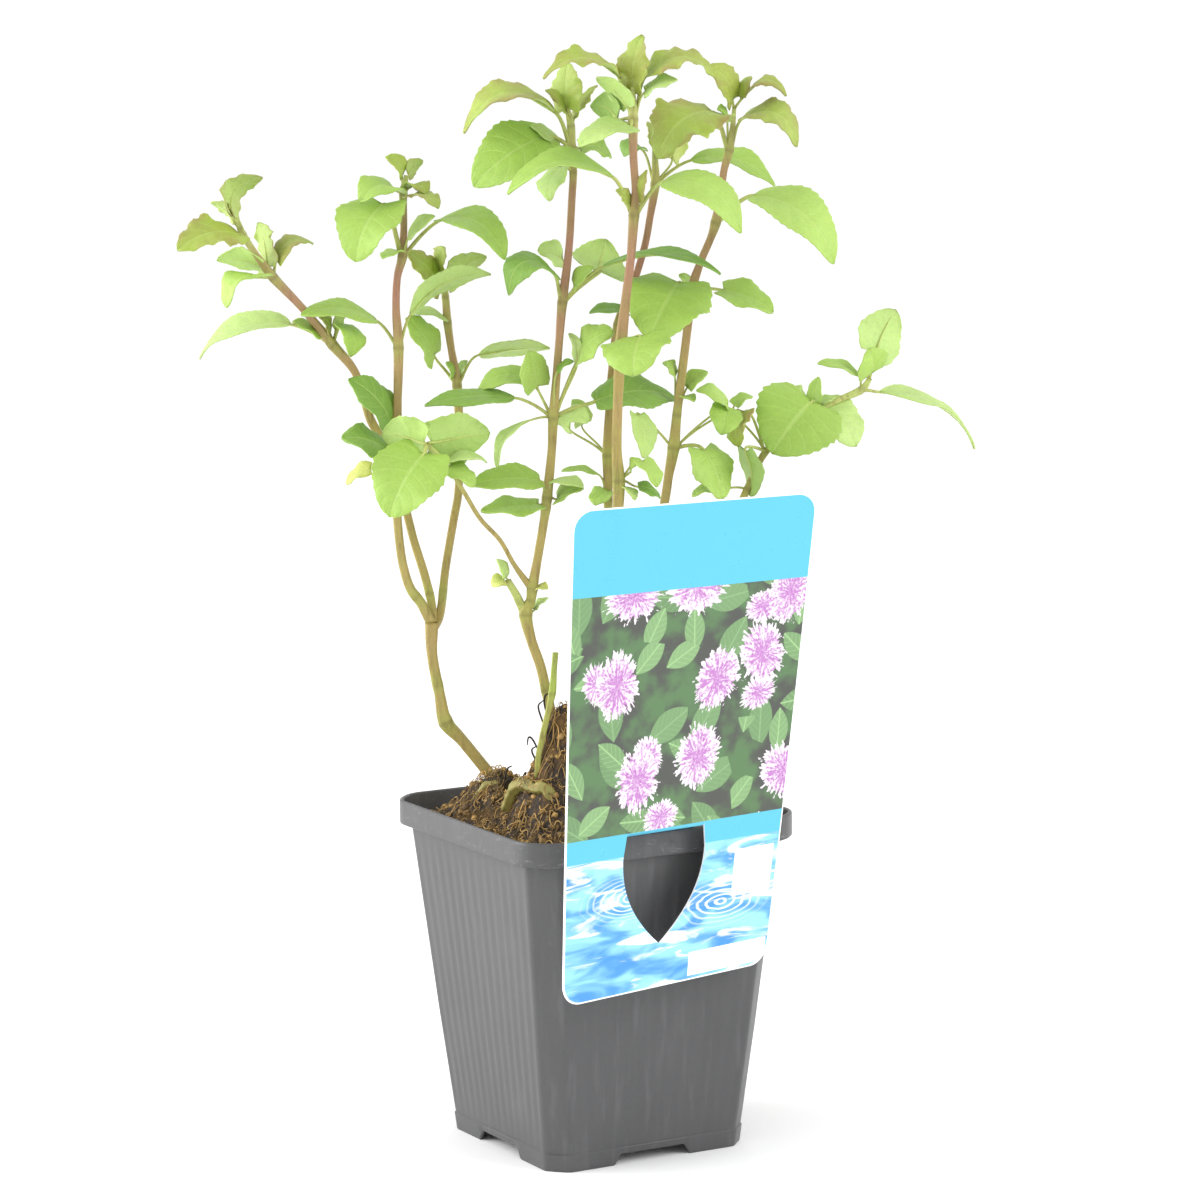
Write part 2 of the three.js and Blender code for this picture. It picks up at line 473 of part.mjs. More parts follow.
// The four-sided stem of the mint family, with an allowance all round for a hole.
function stemBar(route, allowance = 0) {
  const steps = route.length - 1;
  let side = new THREE.Vector3(1, 0, 0);
  const rings = [];
  for (let i = 0; i <= steps; i++) {
    const { point, tangent, thickness } = alongRoute(route, i / steps);
    if (i === 0) point.addScaledVector(tangent, -allowance);
    side = squareTo(side, tangent);
    const other = tangent.clone().cross(side);
    const reach = STEM_SIDE * thickness / 2 + allowance;
    rings.push([[1, 1], [-1, 1], [-1, -1], [1, -1]].map(([a, b]) =>
      point.clone().addScaledVector(side, a * reach).addScaledVector(other, b * reach)));
  }
  return solid(loft(rings));
}

// The place on a stem at a height.
function nodeAt(route, height) {
  let low = 0;
  let high = 1;
  for (let i = 0; i < 20; i++) {
    const middle = (low + high) / 2;
    if (alongRoute(route, middle).point.z < height) low = middle; else high = middle;
  }
  return alongRoute(route, low);
}

// ---- Leaves ------------------------------------------------------------------

// Half width of a blade along its length, 0 to 1: egg-shaped with a blunt tip.
const bladeOutline = (t) => Math.pow(Math.sin(Math.PI * Math.pow(t, 0.8)), 0.75);

// A cubic from one point and direction to another, and its slope.
function hermite(from, leaving, to, arriving, t) {
  const s = 1 - t;
  return from.clone().multiplyScalar(s * s * (1 + 2 * t)).addScaledVector(leaving, t * s * s)
    .addScaledVector(to, t * t * (3 - 2 * t)).addScaledVector(arriving, -t * t * s);
}

function hermiteSlope(from, leaving, to, arriving, t) {
  const s = 1 - t;
  return from.clone().multiplyScalar(-6 * t * s).addScaledVector(leaving, s * s - 2 * t * s)
    .addScaledVector(to, 6 * t * s).addScaledVector(arriving, t * t - 2 * t * s);
}

// Stations along a blade, arched along its length. Every second one of a large
// blade is a dip in its waved edge.
function bladeStations(base, reach, width, arch, roll) {
  const along = reach.clone().normalize();
  const normal = squareTo(UP, along).applyAxisAngle(along, -degToRad(roll));
  const side = along.clone().cross(normal);
  const large = width >= LARGE_LEAF;
  const steps = large ? 5 : 3;
  const stations = [];
  for (let i = 0; i <= steps; i++) {
    const t = i / steps;
    const tooth = large && i % 2 === 0 ? TOOTH_DIP : 1;
    stations.push({
      point: base.clone().addScaledVector(reach, t).addScaledVector(normal, 4 * arch * t * (1 - t)),
      tangent: reach.clone().addScaledVector(normal, 4 * arch * (1 - 2 * t)).normalize(),
      half: Math.max(STALK_WIDTH / 2, width / 2 * bladeOutline(t) * tooth),
      thickness: BLADE_THICKNESS,
      side,
    });
  }
  stations[0].thickness = STALK_THICKNESS;
  stations[steps].half = STALK_WIDTH / 3;
  return stations;
}

// Stations along a stalk, from the stem to the blade's first station. It leaves the
// stem bent upwards and comes into line with the blade.
function stalkStations(foot, first) {
  const line = first.point.clone().sub(foot);
  const length = line.length();
  const leaving = line.clone().addScaledVector(UP, STALK_LIFT * length);
  const arriving = first.tangent.clone().multiplyScalar(Math.min(length, STALK_ARRIVAL));
  const turn = radToDeg(leaving.angleTo(arriving));
  const steps = 1 + SHARP_TURNS.filter((sharp) => turn > sharp).length;
  const stations = [first];
  for (let i = steps - 1; i >= 0; i--) {
    const t = i / steps;
    const tangent = hermiteSlope(foot, leaving, first.point, arriving, t).normalize();
    const bend = new THREE.Quaternion().setFromUnitVectors(stations[0].tangent, tangent);
    stations.unshift({
      point: hermite(foot, leaving, first.point, arriving, t),
      tangent,
      half: STALK_WIDTH / 2,
      thickness: STALK_THICKNESS,
      side: stations[0].side.clone().applyQuaternion(bend),
    });
  }
  return stations.slice(0, -1);
}

// One leaf: its stalk is rooted inside the stem, and its blade is folded up a
// little along the midrib.
function leafBar(node, stalk, blade, width, arch, roll) {
  const base = node.point.clone().add(vector(stalk));
  const outward = squareTo(vector(stalk), node.tangent);
  const foot = node.point.clone().addScaledVector(outward, ROOT_SHARE * node.thickness);
  const onBlade = bladeStations(base, vector(blade), width, arch, roll);
  const stations = [...stalkStations(foot, onBlade[0]), ...onBlade];
  const edges = width >= SMALL_LEAF ? [1, 0, -1] : [1, -1];
  const face = (sign) => stations.map(({ point, tangent, half, thickness, side }) => {
    const out = side.clone().cross(tangent);
    const lift = edges.length === 3 && half > STALK_WIDTH ? BLADE_FOLD * half : 0;
    return edges.map((edge) => point.clone()
      .addScaledVector(side, edge * half)
      .addScaledVector(out, sign * thickness / 2 + Math.abs(edge) * lift));
  });
  return solid(slab(face(1), face(-1)));
}

function buildShoot(stems) {
  return join(stems.flatMap(({ route, leaves }) => [
    stemBar(route),
    ...leaves.map(([height, stalk, blade, width, arch, roll]) =>
      leafBar(nodeAt(route, height), stalk, blade, width, arch, roll)),
  ]));
}

// ---- Soil --------------------------------------------------------------------

// Height of the peat at a place in the pot: a low crown, its heaps and coarse crumbs.
function soilHeight(x, y, outward) {
  const place = new THREE.Vector3(x, y, 0).applyAxisAngle(UP, degToRad(-SPREAD_TURN));
  const heaps = HEAPS.map(({ across, away, height, radius }) =>
    height * Math.exp(-((Math.hypot(place.x - across, place.y - away) / radius) ** 2)));
  const crumbs = 0.9 * Math.sin(0.53 * x + 1.1) * Math.cos(0.47 * y) + 0.5 * Math.sin(0.9 * (x + y));
  const crown = SOIL_CROWN * (1 - outward ** 2);
  const rise = heaps.reduce((sum, heap) => sum + heap, crown);
  return SOIL_EDGE + rise + crumbs * (1 - outward ** 4);
}

// A ring of soil inside a wall of a width, level or on the soil's own surface.
function soilRing(width, outward, level) {
  const half = width / 2 - WALL - CLEARANCE;
  const corner = 2 * half - width * CORNER_SHARE;
  return Array.from({ length: SOIL_SIDES }, (_, i) => {
    const angle = 2 * Math.PI * (i + 0.5) / SOIL_SIDES;
    const c = Math.abs(Math.cos(angle));
    const s = Math.abs(Math.sin(angle));
    const reach = outward * Math.min(half / Math.max(c, s), corner / (c + s));
    const x = reach * Math.cos(angle);
    const y = reach * Math.sin(angle);
    return new THREE.Vector3(x, y, level ?? soilHeight(x, y, outward));
  });
}

function buildSoil(holes) {
  const bed = FLOOR + CLEARANCE;
  const edge = wallWidth(SOIL_EDGE);
  const body = solid(loft([
    soilRing(wallWidth(bed), 1, bed),
    ...SOIL_RINGS.map((outward) => soilRing(edge, outward)),
  ]));
  return holes.reduce((soil, hole) => soil.subtract(hole), body);
}

// A stem's hole is its own lower end, a little wider.
function stemHole(route) {
  return stemBar(route, CLEARANCE).rotate([0, 0, SPREAD_TURN]);
}

function tonguePocket() {
  const { left, right, front, back, bottom, depth } = POCKET;
  return prism(outline([[left, front], [right, front], [right, back], [left, back]]), depth)
    .translate([0, 0, bottom]);
}

// ---- Label -------------------------------------------------------------------

// A place on the card at a height: its middle line leans and it twists about it.
function onLabel(across, height, proud = 0) {
  const t = (height - LABEL.bottom) / (LABEL.top - LABEL.bottom);
  const twist = degToRad(lerp(LABEL_FOOT.twist, LABEL_HEAD.twist, t));
  const x = lerp(LABEL_FOOT.x, LABEL_HEAD.x, t) + across * Math.cos(twist) + proud * Math.sin(twist);
  const y = lerp(LABEL_FOOT.y, LABEL_HEAD.y, t) + across * Math.sin(twist) - proud * Math.cos(twist);
  return new THREE.Vector3(x, y, height);
}

// The tongue's half width at a distance from the fold: a shield that ends in a point.
function tongueHalfWidth(run) {
  const { width, shoulder, drop, length } = WINDOW;
  if (run < drop) return lerp(width, shoulder, run / drop) / 2;
  return shoulder / 2 * (1 - ((run - drop) / (length - drop)) ** 2.25);
}

// The flat card: rounded corners, and the window that the tongue leaves in it.
function labelOutline() {
  const { bottom, top, corner } = LABEL;
  const half = LABEL.width / 2;
  const quarter = Math.PI / 2;
  const shape = new THREE.Shape();
  shape.moveTo(-half + corner, bottom).lineTo(half - corner, bottom);
  shape.absarc(half - corner, bottom + corner, corner, -quarter, 0);
  shape.absarc(half - corner, top - corner, corner, 0, quarter);
  shape.absarc(-half + corner, top - corner, corner, quarter, 2 * quarter);
  shape.absarc(-half + corner, bottom + corner, corner, 2 * quarter, 3 * quarter);

  const edge = (sign) => WINDOW_RUNS.map((run) =>
    new THREE.Vector2(WINDOW.middle + sign * tongueHalfWidth(run), WINDOW.top - run));
  const tip = new THREE.Vector2(WINDOW.middle, WINDOW.top - WINDOW.length);
  shape.holes.push(new THREE.Path([...edge(1), tip, ...edge(-1).reverse()]));
  return shape;
}

// The tongue: from the window's top edge back over the rim and down inside the wall.
// It starts along the slanting fold and has come square to the pot by its second row.
function tongueBar() {
  const middle = onLabel(WINDOW.middle, WINDOW.top);
  const fold = TONGUE_SHARES.map((share) =>
    onLabel(WINDOW.middle + share * tongueHalfWidth(0), WINDOW.top + LABEL.thickness / 2));
  const rows = TONGUE_ROUTE.map(([run, y, z], i) => TONGUE_SHARES.map((share, k) => {
    const slant = i === 0 ? (fold[k].y - middle.y) / 2 : 0;
    return new THREE.Vector3(middle.x + share * tongueHalfWidth(run), y + slant, z);
  }));
  const route = [fold, ...rows];
  const face = (sign) => route.map((row, i) => {
    const before = route[Math.max(i - 1, 0)][2];
    const after = route[Math.min(i + 1, route.length - 1)][2];
    const run = after.clone().sub(before).normalize();
    const out = new THREE.Vector3(0, -run.z, run.y);
    return row.map((point) => point.clone().addScaledVector(out, sign * LABEL.thickness / 2));
  });
  return solid(slab(face(-1), face(1)));
}

// The card is cut flat, as a grid so that it can bend, and then set in its place.
function buildLabel() {
  const { columns, rows } = LABEL_GRID;
  const sheet = (depth) => Array.from({ length: rows }, (_, r) =>
    Array.from({ length: columns }, (_, c) => new THREE.Vector3(
      lerp(-LABEL.width / 2, LABEL.width / 2, c / (columns - 1)),
      lerp(LABEL.bottom, LABEL.top, r / (rows - 1)), depth)));
  const flat = solid(slab(sheet(-LABEL.thickness / 2), sheet(LABEL.thickness / 2)));
  const cutter = prism(labelOutline(), 4 * LABEL.thickness).translate([0, 0, -2 * LABEL.thickness]);
  const card = flat.intersect(cutter).warp((point) => onLabel(...point).toArray(point));
  return card.add(tongueBar());
}

// ---- Assembly ----------------------------------------------------------------

function piece(name, body, color, roughness) {
  const material = new THREE.MeshStandardMaterial({ color, roughness, metalness: 0, flatShading: true });
  const mesh = new THREE.Mesh(geometryOf(body), material);
  mesh.name = name;
  return mesh;
}

const rooted = SHOOTS.flatMap(({ name, stems }) =>
  stems.filter(({ route }) => route[0][2] < ROOTED_BELOW || name.startsWith('runner')));
const holes = rooted.map(({ route }) => stemHole(route));

const spread = new THREE.Group();
spread.rotation.z = degToRad(SPREAD_TURN);
for (const { name, color, stems } of SHOOTS) {
  spread.add(piece(name, buildShoot(stems), color, 0.6));
}

const pottedMint = new THREE.Group();
pottedMint.add(
  piece('pot', buildPot(), 0x4b4b4d, 0.45),
  piece('soil', buildSoil([tonguePocket(), ...holes]), 0x4a3420, 0.95),
  piece('label', buildLabel(), 0x7fdcf5, 0.35),
  spread,
);

export default pottedMint;
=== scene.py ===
"""Dresses the potted mint plant: pot, peat, plant label, stems and leaves.

Laid out as a Blender add-on and run as a script. Sizes are in millimetres unless a
name or a unit says otherwise, and a mesh is brought to metres when it is made.
"""

import math

import bpy
import numpy as np
from mathutils import Matrix, Vector


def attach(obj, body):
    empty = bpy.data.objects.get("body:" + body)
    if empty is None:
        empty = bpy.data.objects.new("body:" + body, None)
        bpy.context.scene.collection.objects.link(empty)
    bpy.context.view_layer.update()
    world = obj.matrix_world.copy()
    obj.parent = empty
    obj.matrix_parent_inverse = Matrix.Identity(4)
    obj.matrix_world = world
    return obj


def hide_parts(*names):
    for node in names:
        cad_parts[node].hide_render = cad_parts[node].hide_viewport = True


bl_info = {
    "name": "Potted mint plant",
    "version": (1, 0, 0),
    "blender": (4, 5, 0),
    "location": "3D View > Sidebar > Mint",
    "description": "Makes the leaves, stems, peat, pot and label of a potted mint plant",
    "category": "Object",
}

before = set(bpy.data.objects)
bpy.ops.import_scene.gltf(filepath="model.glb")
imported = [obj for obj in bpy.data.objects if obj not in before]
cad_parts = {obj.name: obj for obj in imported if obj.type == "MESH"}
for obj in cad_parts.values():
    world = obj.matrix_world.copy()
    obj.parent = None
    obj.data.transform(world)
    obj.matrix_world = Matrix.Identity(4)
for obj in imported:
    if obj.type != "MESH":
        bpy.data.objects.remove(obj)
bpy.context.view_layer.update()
MM = 0.001
SEED = 41

# ---- Sizes that follow the solids ----

POT_HEIGHT = 98.7
RIM_WIDTH = 90.0
RIM_BAND = 7.2
SHOULDER_WIDTH = 83.7
BASE_WIDTH = 65.0
WALL = 1.0
CORNER_SHARE = 0.08
FLOOR_UNDERSIDE = 3.5
FLOOR_THICKNESS = 1.3
NOTCH_GROUND, NOTCH_TOP, NOTCH_HEIGHT = 25.0, 21.0, 3.1
DRAIN_RADIUS = 3.6
DRAIN_PLACES = [(0, 0), (17, 17), (17, -17), (-17, -17), (-17, 17)]
SHOULDER = POT_HEIGHT - RIM_BAND
FLOOR = FLOOR_UNDERSIDE + FLOOR_THICKNESS

SOIL_EDGE = 91.5
SOIL_CROWN = 10.0
# (across, away, height, radius) of the soil's heaps, and of the loose peat under the
# runners and by the right corner.
HEAPS = [(2.0, -12.0, 20.0, 17.0), (-10.0, -14.0, 17.0, 8.0), (-30.0, 4.0, 8.0, 11.0)]
NESTS = [
    (-28.5, -1.0, 3.2, 5.0), (-19.5, -20.5, 2.6, 5.5), (-13.5, -25.5, 2.6, 5.0),
    (47.5, -13.4, 9.0, 7.0),
]
SOIL_GAP = 0.35

LABEL_WIDTH, LABEL_BOTTOM, LABEL_TOP, LABEL_CORNER = 78.0, 56.2, 192.9, 6.0
LABEL_FOOT_X, LABEL_FOOT_Y, LABEL_FOOT_TWIST = -6.4, -51.6, 13.0
LABEL_HEAD_X, LABEL_HEAD_Y, LABEL_HEAD_TWIST = 3.6, -54.0, -1.0
WINDOW_MIDDLE, WINDOW_TOP, WINDOW_LENGTH = -3.7, 101.4, 32.8
WINDOW_WIDTH, WINDOW_SHOULDER, WINDOW_DROP = 27.5, 29.7, 7.0
# (run from the fold, y, z) along the tongue.
TONGUE_ROUTE = [
    (2.6, -51.4, 100.4), (9.3, -44.6, 99.75), (11.9, -42.2, 98.9), (14.9, -40.6, 96.3),
    (21.1, -39.7, 90.2), (27.1, -39.2, 83.5), (32.8, -38.7, 77.7),
]

BLADE_FOLD = 0.14       # how far a blade's edges rise, by its half width
STALK_LIFT = 0.35       # how far a stalk leaves its stem upwards, by its length
STALK_ARRIVAL = 9.0     # strongest pull of the blade's direction on the end of its stalk
ROOT_SHARE = 0.2        # where a stalk is rooted, from the stem's middle, by the thickness

# The plant's spread is turned against the pot by this angle about Z. Every place in
# the rows below is (across, away, up) in that turned frame.
SPREAD_TURN = -29.3

# How a leaf's letter colours it: young (bronzed), deep (darker green), pale, yellow. Pale lays the
# underside's colour over the whole blade: partly the underside seen, and partly painted light
# shining through the blade.
TINTS = {
    "g": (0.06, 0.10, 0.05, 0.0),
    "d": (0.04, 0.85, 0.0, 0.0),
    "o": (0.85, 0.15, 0.05, 0.0),
    # p: partly the underside seen, and partly painted light shining through the blade
    "p": (0.12, 0.0, 0.75, 0.0),
    "y": (0.20, 0.0, 0.30, 0.9),
    "w": (0.05, 0.0, 1.0, 0.5),
}

SHOOTS = {}


def grow(shoot, route, leaves=()):
    """Adds a stem with its leaves to a shoot.

    A route's points are (across, away, up, thickness). A leaf is (height of its place on
    the stem, reach of its stalk, reach of its blade, width, arch, roll, tint), where the
    roll turns the blade about its own line, in degrees clockwise as seen from its tip.
    A leaf with no tint is plain green.
    """
    SHOOTS.setdefault(shoot, []).append((route, leaves))


# Left shoot: the trunk.
grow("shoot_left", [
    (-20, 8, 86, 3.6), (-25.5, 8, 100, 3.6), (-32, 8, 108.5, 3.6), (-38.5, 7, 117, 3.6),
    (-43, 6, 122.5, 4.6), (-44.5, 5, 130.5, 3.5), (-46.5, 4, 142.5, 3.4), (-46.5, 4, 152, 4.4),
])
# Left shoot: the left branch.
grow("shoot_left", [
    (-46.5, 4, 152, 3.4), (-49.5, 3, 158, 2.9), (-52.5, 2, 162.5, 2.8), (-54.5, 1, 170, 2.7),
    (-55.5, 0, 179.5, 2.7), (-56, -1, 191.5, 2.7), (-55.5, -2, 206, 3.3), (-55, -2, 217.5, 2.6),
    (-54.5, -2, 232.5, 3.2), (-55, -2, 243.5, 2.4), (-54.5, -2, 252.5, 2.3), (-53, -1, 258.5, 2.9),
    (-52.5, 0, 266.5, 2.2), (-52.5, 0, 276, 2.5), (-51.5, 0, 281.5, 1.5),
], [
    (258.5, (-5, -5, 15), (-8, -9, -15.5), 20, 3, 15),
    (258.5, (11, 2, 10), (19, -10, -10.5), 16, 5.5, -15),
    (258.5, (2, -2, 5.5), (7.5, -4, 6.5), 7, 1, -45, "p"),
    (258.5, (-1, -1, 1.5), (-4.5, -5, -1.5), 7, 0.5, 0),
    (276, (-2.5, -2, 1.5), (-9.5, -8, -3), 13, 3, 20),
    (276, (1.5, 1, 1.5), (5.5, -6, -1.5), 8, 2, -5, "o"),
    (276, (2, -2, -0.5), (8.5, -6, -3), 9, 2, -5, "o"),
    (278, (-0.5, 0, 3.5), (-4.5, -3, 5.5), 7, 2, 60, "o"),
    (277, (1.5, 1, 4.5), (4, 3, 4), 6, 1, 70, "o"),
    (232.5, (-6.5, 2, 7.5), (-21, -8, 3), 14, 2.5, 20),
    (232.5, (3.5, 3, 9), (23, 7, 11.5), 13, 4, 40, "p"),
    (206, (-1.5, -2, 5), (-11.5, -4, 13.5), 15, 2, 45, "d"),
    (201, (-2.5, -3, 2), (-12.5, -7, 5), 15, 1.5, 35, "d"),
    (206, (-7.5, 1, -8.5), (-7.5, 2, -4.5), 8, 1, 30, "y"),
])
# Left shoot: the middle branch, which leans far out to the left.
grow("shoot_left", [
    (-46.5, 4, 152, 3.4), (-46.5, 6, 157, 2.8), (-48.5, 8, 165.5, 2.8), (-51.5, 9, 175.5, 2.7),
    (-54, 9, 186, 2.7), (-58, 8, 200.5, 2.7), (-63, 6, 210.5, 2.9), (-65, 5, 217, 2.5),
    (-67.5, 3, 225.5, 2.5), (-73.5, 0, 233.5, 3.2), (-79, -3, 241, 2.4), (-83, -5, 246, 2.3),
    (-89.5, -8, 253.5, 2.9), (-94, -10, 260, 2), (-97.5, -12, 266, 2.2), (-99, -13, 270.5, 1.4),
], [
    (268, (-2, 0, 3), (8.5, 4, 11), 12, 5, 55, "o"),
    (266, (-1, -2, 0), (-16.5, -12, -3), 16, 2.5, 25, "o"),
    (266, (-2.5, 1, 3.5), (-6.5, 2, 5.5), 7, 1, -40, "o"),
    (253.5, (1, 2, 4.5), (10.5, 4, 4.5), 12, 3.5, -10, "o"),
    (253.5, (-1.5, 2, 2.5), (-2.5, 6, 12.5), 13, 0.5, -95, "o"),
    (253.5, (-2.5, -1, 3), (-13.5, 4, 2), 11, 1, -40, "p"),
    (253.5, (-3, -2, 0), (-10, -6, -8), 14, 4, 0),
    (233.5, (-11.5, -4, 6), (-27.5, 6, -9.5), 16, 4.5, 20, "p"),
    (233.5, (3.5, -1, 5.5), (2, -3, -9), 12, 2.5, 25),
    (233.5, (-0.5, 0, 3.5), (-3, -3, 5.5), 6, 1, 60, "o"),
    (233.5, (1, 1, 4), (3.5, 2, 5), 6, 1, 55, "o"),
    (233.5, (-3, -1, 2.5), (-8, -2, 4.5), 7, 1, 30),
])
# Left shoot: the right branch.
grow("shoot_left", [
    (-46, 4, 150.5, 3), (-44, 7, 154.5, 2.6), (-42.5, 11, 166.5, 2.5), (-40, 14, 180.5, 2.5),
    (-38.5, 16, 189, 2.5), (-38, 17, 203.5, 2.4), (-38.5, 17, 219.5, 2.9), (-40, 17, 230, 2.2),
    (-41, 17, 238, 2.5), (-41.5, 17, 245.5, 2.2), (-42.5, 17, 253, 1.5), (-43, 17, 257, 1.1),
], [
    (219.5, (-6.5, -3, 9), (-7.5, -5, 11.5), 14, 1, 55),
    (219.5, (6.5, 2, 8.5), (20.5, 4, 2), 12, 0.5, 30, "p"),
    (219.5, (-1, -1, 2.5), (-2, -1, 4.5), 5, 1, 50),
    (219.5, (1, 1, 2.5), (2, 1, 4.5), 5, 1, 55),
    (245.5, (-1.5, -1, 2.5), (-9, -5, 11), 13, 1.5, 50, "o"),
    (245.5, (1, 1, 3.5), (11, 2, 8), 12, 2, 45, "o"),
    (238, (-1, -2, 1.5), (-9, -4, 2), 9, 1, 15, "p"),
    (253, (-0.5, 0, 1), (1.5, -3, 6), 9, 0.5, -90, "o"),
])
# Centre shoot: the main stem.
grow("shoot_centre", [
    (-11, -8, 82, 3.2), (-11, -8, 115.5, 3.2), (-12, -8, 126.5, 3.2), (-13.5, -8, 134, 3.2),
    (-15, -8, 141, 3.1), (-17.5, -8, 148.5, 3.1), (-19, -8, 156, 4.2), (-17.5, -8, 160, 2.9),
    (-17, -8, 163.5, 3.5), (-15.5, -8, 171.5, 2.8), (-13.5, -7, 182.5, 2.8),
    (-12.5, -7, 189.5, 3.3), (-11, -6, 203, 2.7), (-10.5, -5, 212, 3.2), (-9.5, -4, 223, 2.6),
    (-8.5, -3, 234.5, 2.5), (-7.5, -2, 245, 3.1), (-5.5, -1, 260, 2.4), (-4.5, 0, 274, 2.4),
    (-4, 0, 282, 2.4), (-4.5, 0, 289, 3), (-4.5, 0, 295, 2.5), (-5.5, 0, 300, 1.6),
], [
    (156, (2.5, 1, 1), (4, 1, 3.5), 4, 0.5, -10, "p"),
    (163.5, (1.5, -1, 0), (3, -1, 0), 5, 0.5, -15, "y"),
    (186.5, (-2, -1, 1), (-16.5, -5, -0.5), 14, 0, 15),
    (189.5, (3, 0, -0.5), (7.5, -3, 3.5), 9, 1, -30),
    (189.5, (2, -2, 5), (8.5, -6, -1), 8, 1, -10, "p"),
    (189.5, (-2, -2, 5), (-19.5, -5, 0), 14, 1, 25),
    (212, (-11, -2, 6), (-25.5, -6, -0.5), 14, 1, 15, "d"),
    (212, (-7, -3, -0.5), (-9.5, -6, -13), 8, 3, -10, "p"),
    (212, (-8, 2, 11.5), (-14, 2, -4), 12, 2.5, 25),
    (212, (-4.5, 0, 9), (-2, -3, 10.5), 12, 0, 100),
    (212, (7, 2, 15), (-2, 2, 9), 7, 1, -75, "p"),
    (212, (8, 1, 18), (9.5, -5, 7), 14, 1.5, -45),
    (212, (12, 5, 4), (24, 8, 0), 17, 3, -30, "d"),
    (212, (1.5, -1, 13.5), (4.5, -1, 3), 5, 0.5, -25, "d"),
    (212, (3.5, 3, 1.5), (6.5, -3, -3), 9, 1, -25, "p"),
    (245, (-3, -3, 9), (-12.5, -4, -6.5), 16, 7, 20, "d"),
    (245, (0, 2, 12), (-7, 4, 2.5), 10, 1, -55, "p"),
    (245, (11, 3, 8.5), (1.5, 16, 7.5), 18, 2, 155, "p"),
    (245, (12, 0, 10), (33.5, -8, -1), 15, 4, -5, "d"),
    (245, (3.5, -1, 4.5), (5.5, -2, 5.5), 8, 1, -40),
    (289, (-4.5, -4, 10), (-26.5, -6, -5), 17, 8.5, 15, "o"),
    (289, (-7, -4, 3), (-21, -9, -13), 20, 3, 45),
    (289, (-3.5, -1, 0.5), (-8, -3, 6), 9, 1, 30, "p"),
    (282, (-3, -3, 1.5), (-4, -4, -9.5), 13, 2, -10, "p"),
    (289, (2.5, 2, -0.5), (9, 2, -3), 13, 2, -25),
    (297.5, (-0.5, -2, 2.5), (0, 1, 13), 12, 0.5, 40, "o"),
    (295, (1, 1, 2), (6.5, 2, 9.5), 7, 1, -10, "o"),
    (295, (-1.5, -2, 4), (-5.5, -3, 6.5), 6, 1, 45, "o"),
])
# Centre shoot: the thin side shoot that crosses in front of the left shoot.
grow("shoot_centre", [
    (-17, -8, 163, 2.2), (-22, -10, 170.5, 1.4), (-26, -12, 178, 1.3), (-31.5, -14, 184.5, 1.3),
    (-36, -16, 192.5, 1.3), (-41, -18, 201, 1.3), (-46, -20, 206.5, 1.6),
], [
    (206.5, (-1, -2, -2.5), (-10, -6, -17), 22, 3, 40),
    (206.5, (-1, 0, 0.5), (-12, 4, 2.5), 16, 1, -60),
    (206.5, (1, 1, 0.5), (16.5, 4, 2.5), 17, 0, 70),
    (201, (1, -1, 0.5), (11, 3, -0.5), 7, 2, -15, "w"),
    (201, (1, -1, -1), (7.5, -2, -5.5), 9, 1, -20),
])
# Centre shoot: the short spur at the lowest joint.
grow("shoot_centre", [
    (-19.5, -8, 156.5, 2.6), (-21.5, -9, 161.5, 2.4), (-24, -10, 166, 2),
], [
    (166, (-0.5, 0, 1), (-2.5, -1, 5.5), 5, 1, 50, "p"),
    (166, (-1, 0, 0), (-3.5, -1, -1.5), 6, 1, 30, "y"),
])
grow("shoot_front", [
    (3, -20, 82, 3.6), (3, -20, 124.5, 3.6), (4, -20, 144.5, 3.4), (5.5, -19, 164.5, 3.4),
    (7.5, -18, 184.5, 3.3), (8, -18, 195.5, 4), (7.5, -18, 204.5, 3.2), (8, -18, 218.5, 3.1),
    (9, -18, 234, 3.9), (10.5, -18, 247, 2.9), (12, -18, 258.5, 2.6), (13, -18, 270.5, 3.3),
    (13.5, -18, 277.5, 2.4), (13, -18, 287.5, 2.5), (13, -18, 297.5, 3.2), (13, -18, 303, 2),
    (13, -18, 306.5, 1.2),
], [
    (270.5, (-6, -3, 11), (-30, -6, -3.5), 17, 6.5, 15),
    (270.5, (8.5, -3, 9.5), (22, -6, -14), 17, 6, -25),
    (270.5, (2, -1, 3.5), (1.5, -1, 9.5), 5, 1, -65, "o"),
    (270.5, (-1.5, -1, 3), (-3.5, -2, 4.5), 6, 1, 55, "o"),
    (297.5, (-3.5, 1, 11.5), (-22, -5, 0.5), 14, 5.5, 15, "o"),
    (302, (0, 1, 3), (2.5, 1, 16), 13, 1, -20, "o"),
    (297.5, (4, 1, 12), (20, 2, -1), 14, 5.8, -20, "o"),
    (297.5, (3.5, -1, 7.5), (9, -2, 3.5), 9, 1, -25, "p"),
    (297.5, (-1.5, -1, 3), (-8.5, -2, 9), 10, 1, -25, "p"),
    (297.5, (-4.5, 3, 0), (-7.5, 3, 3.5), 13, 2, -50, "d"),
    (297.5, (-1, -3, -2), (-14.5, -6, -5), 14, 2, 15, "p"),
    (234, (5.5, -4, 2.5), (-2.5, -14, -9.5), 20, 1.5, -10),
    (195.5, (3.5, -1, 3), (3, -1, 3), 5, 1, -35),
    (195.5, (6.5, -2, 5.5), (4.5, -3, -7), 9, 1, 0),
    (195.5, (5.5, 0, -2), (6.5, 2, -3.5), 7, 1, -25, "d"),
    (195.5, (2, -1, -2), (2.5, -2, -3.5), 6, 1, 10, "p"),
])
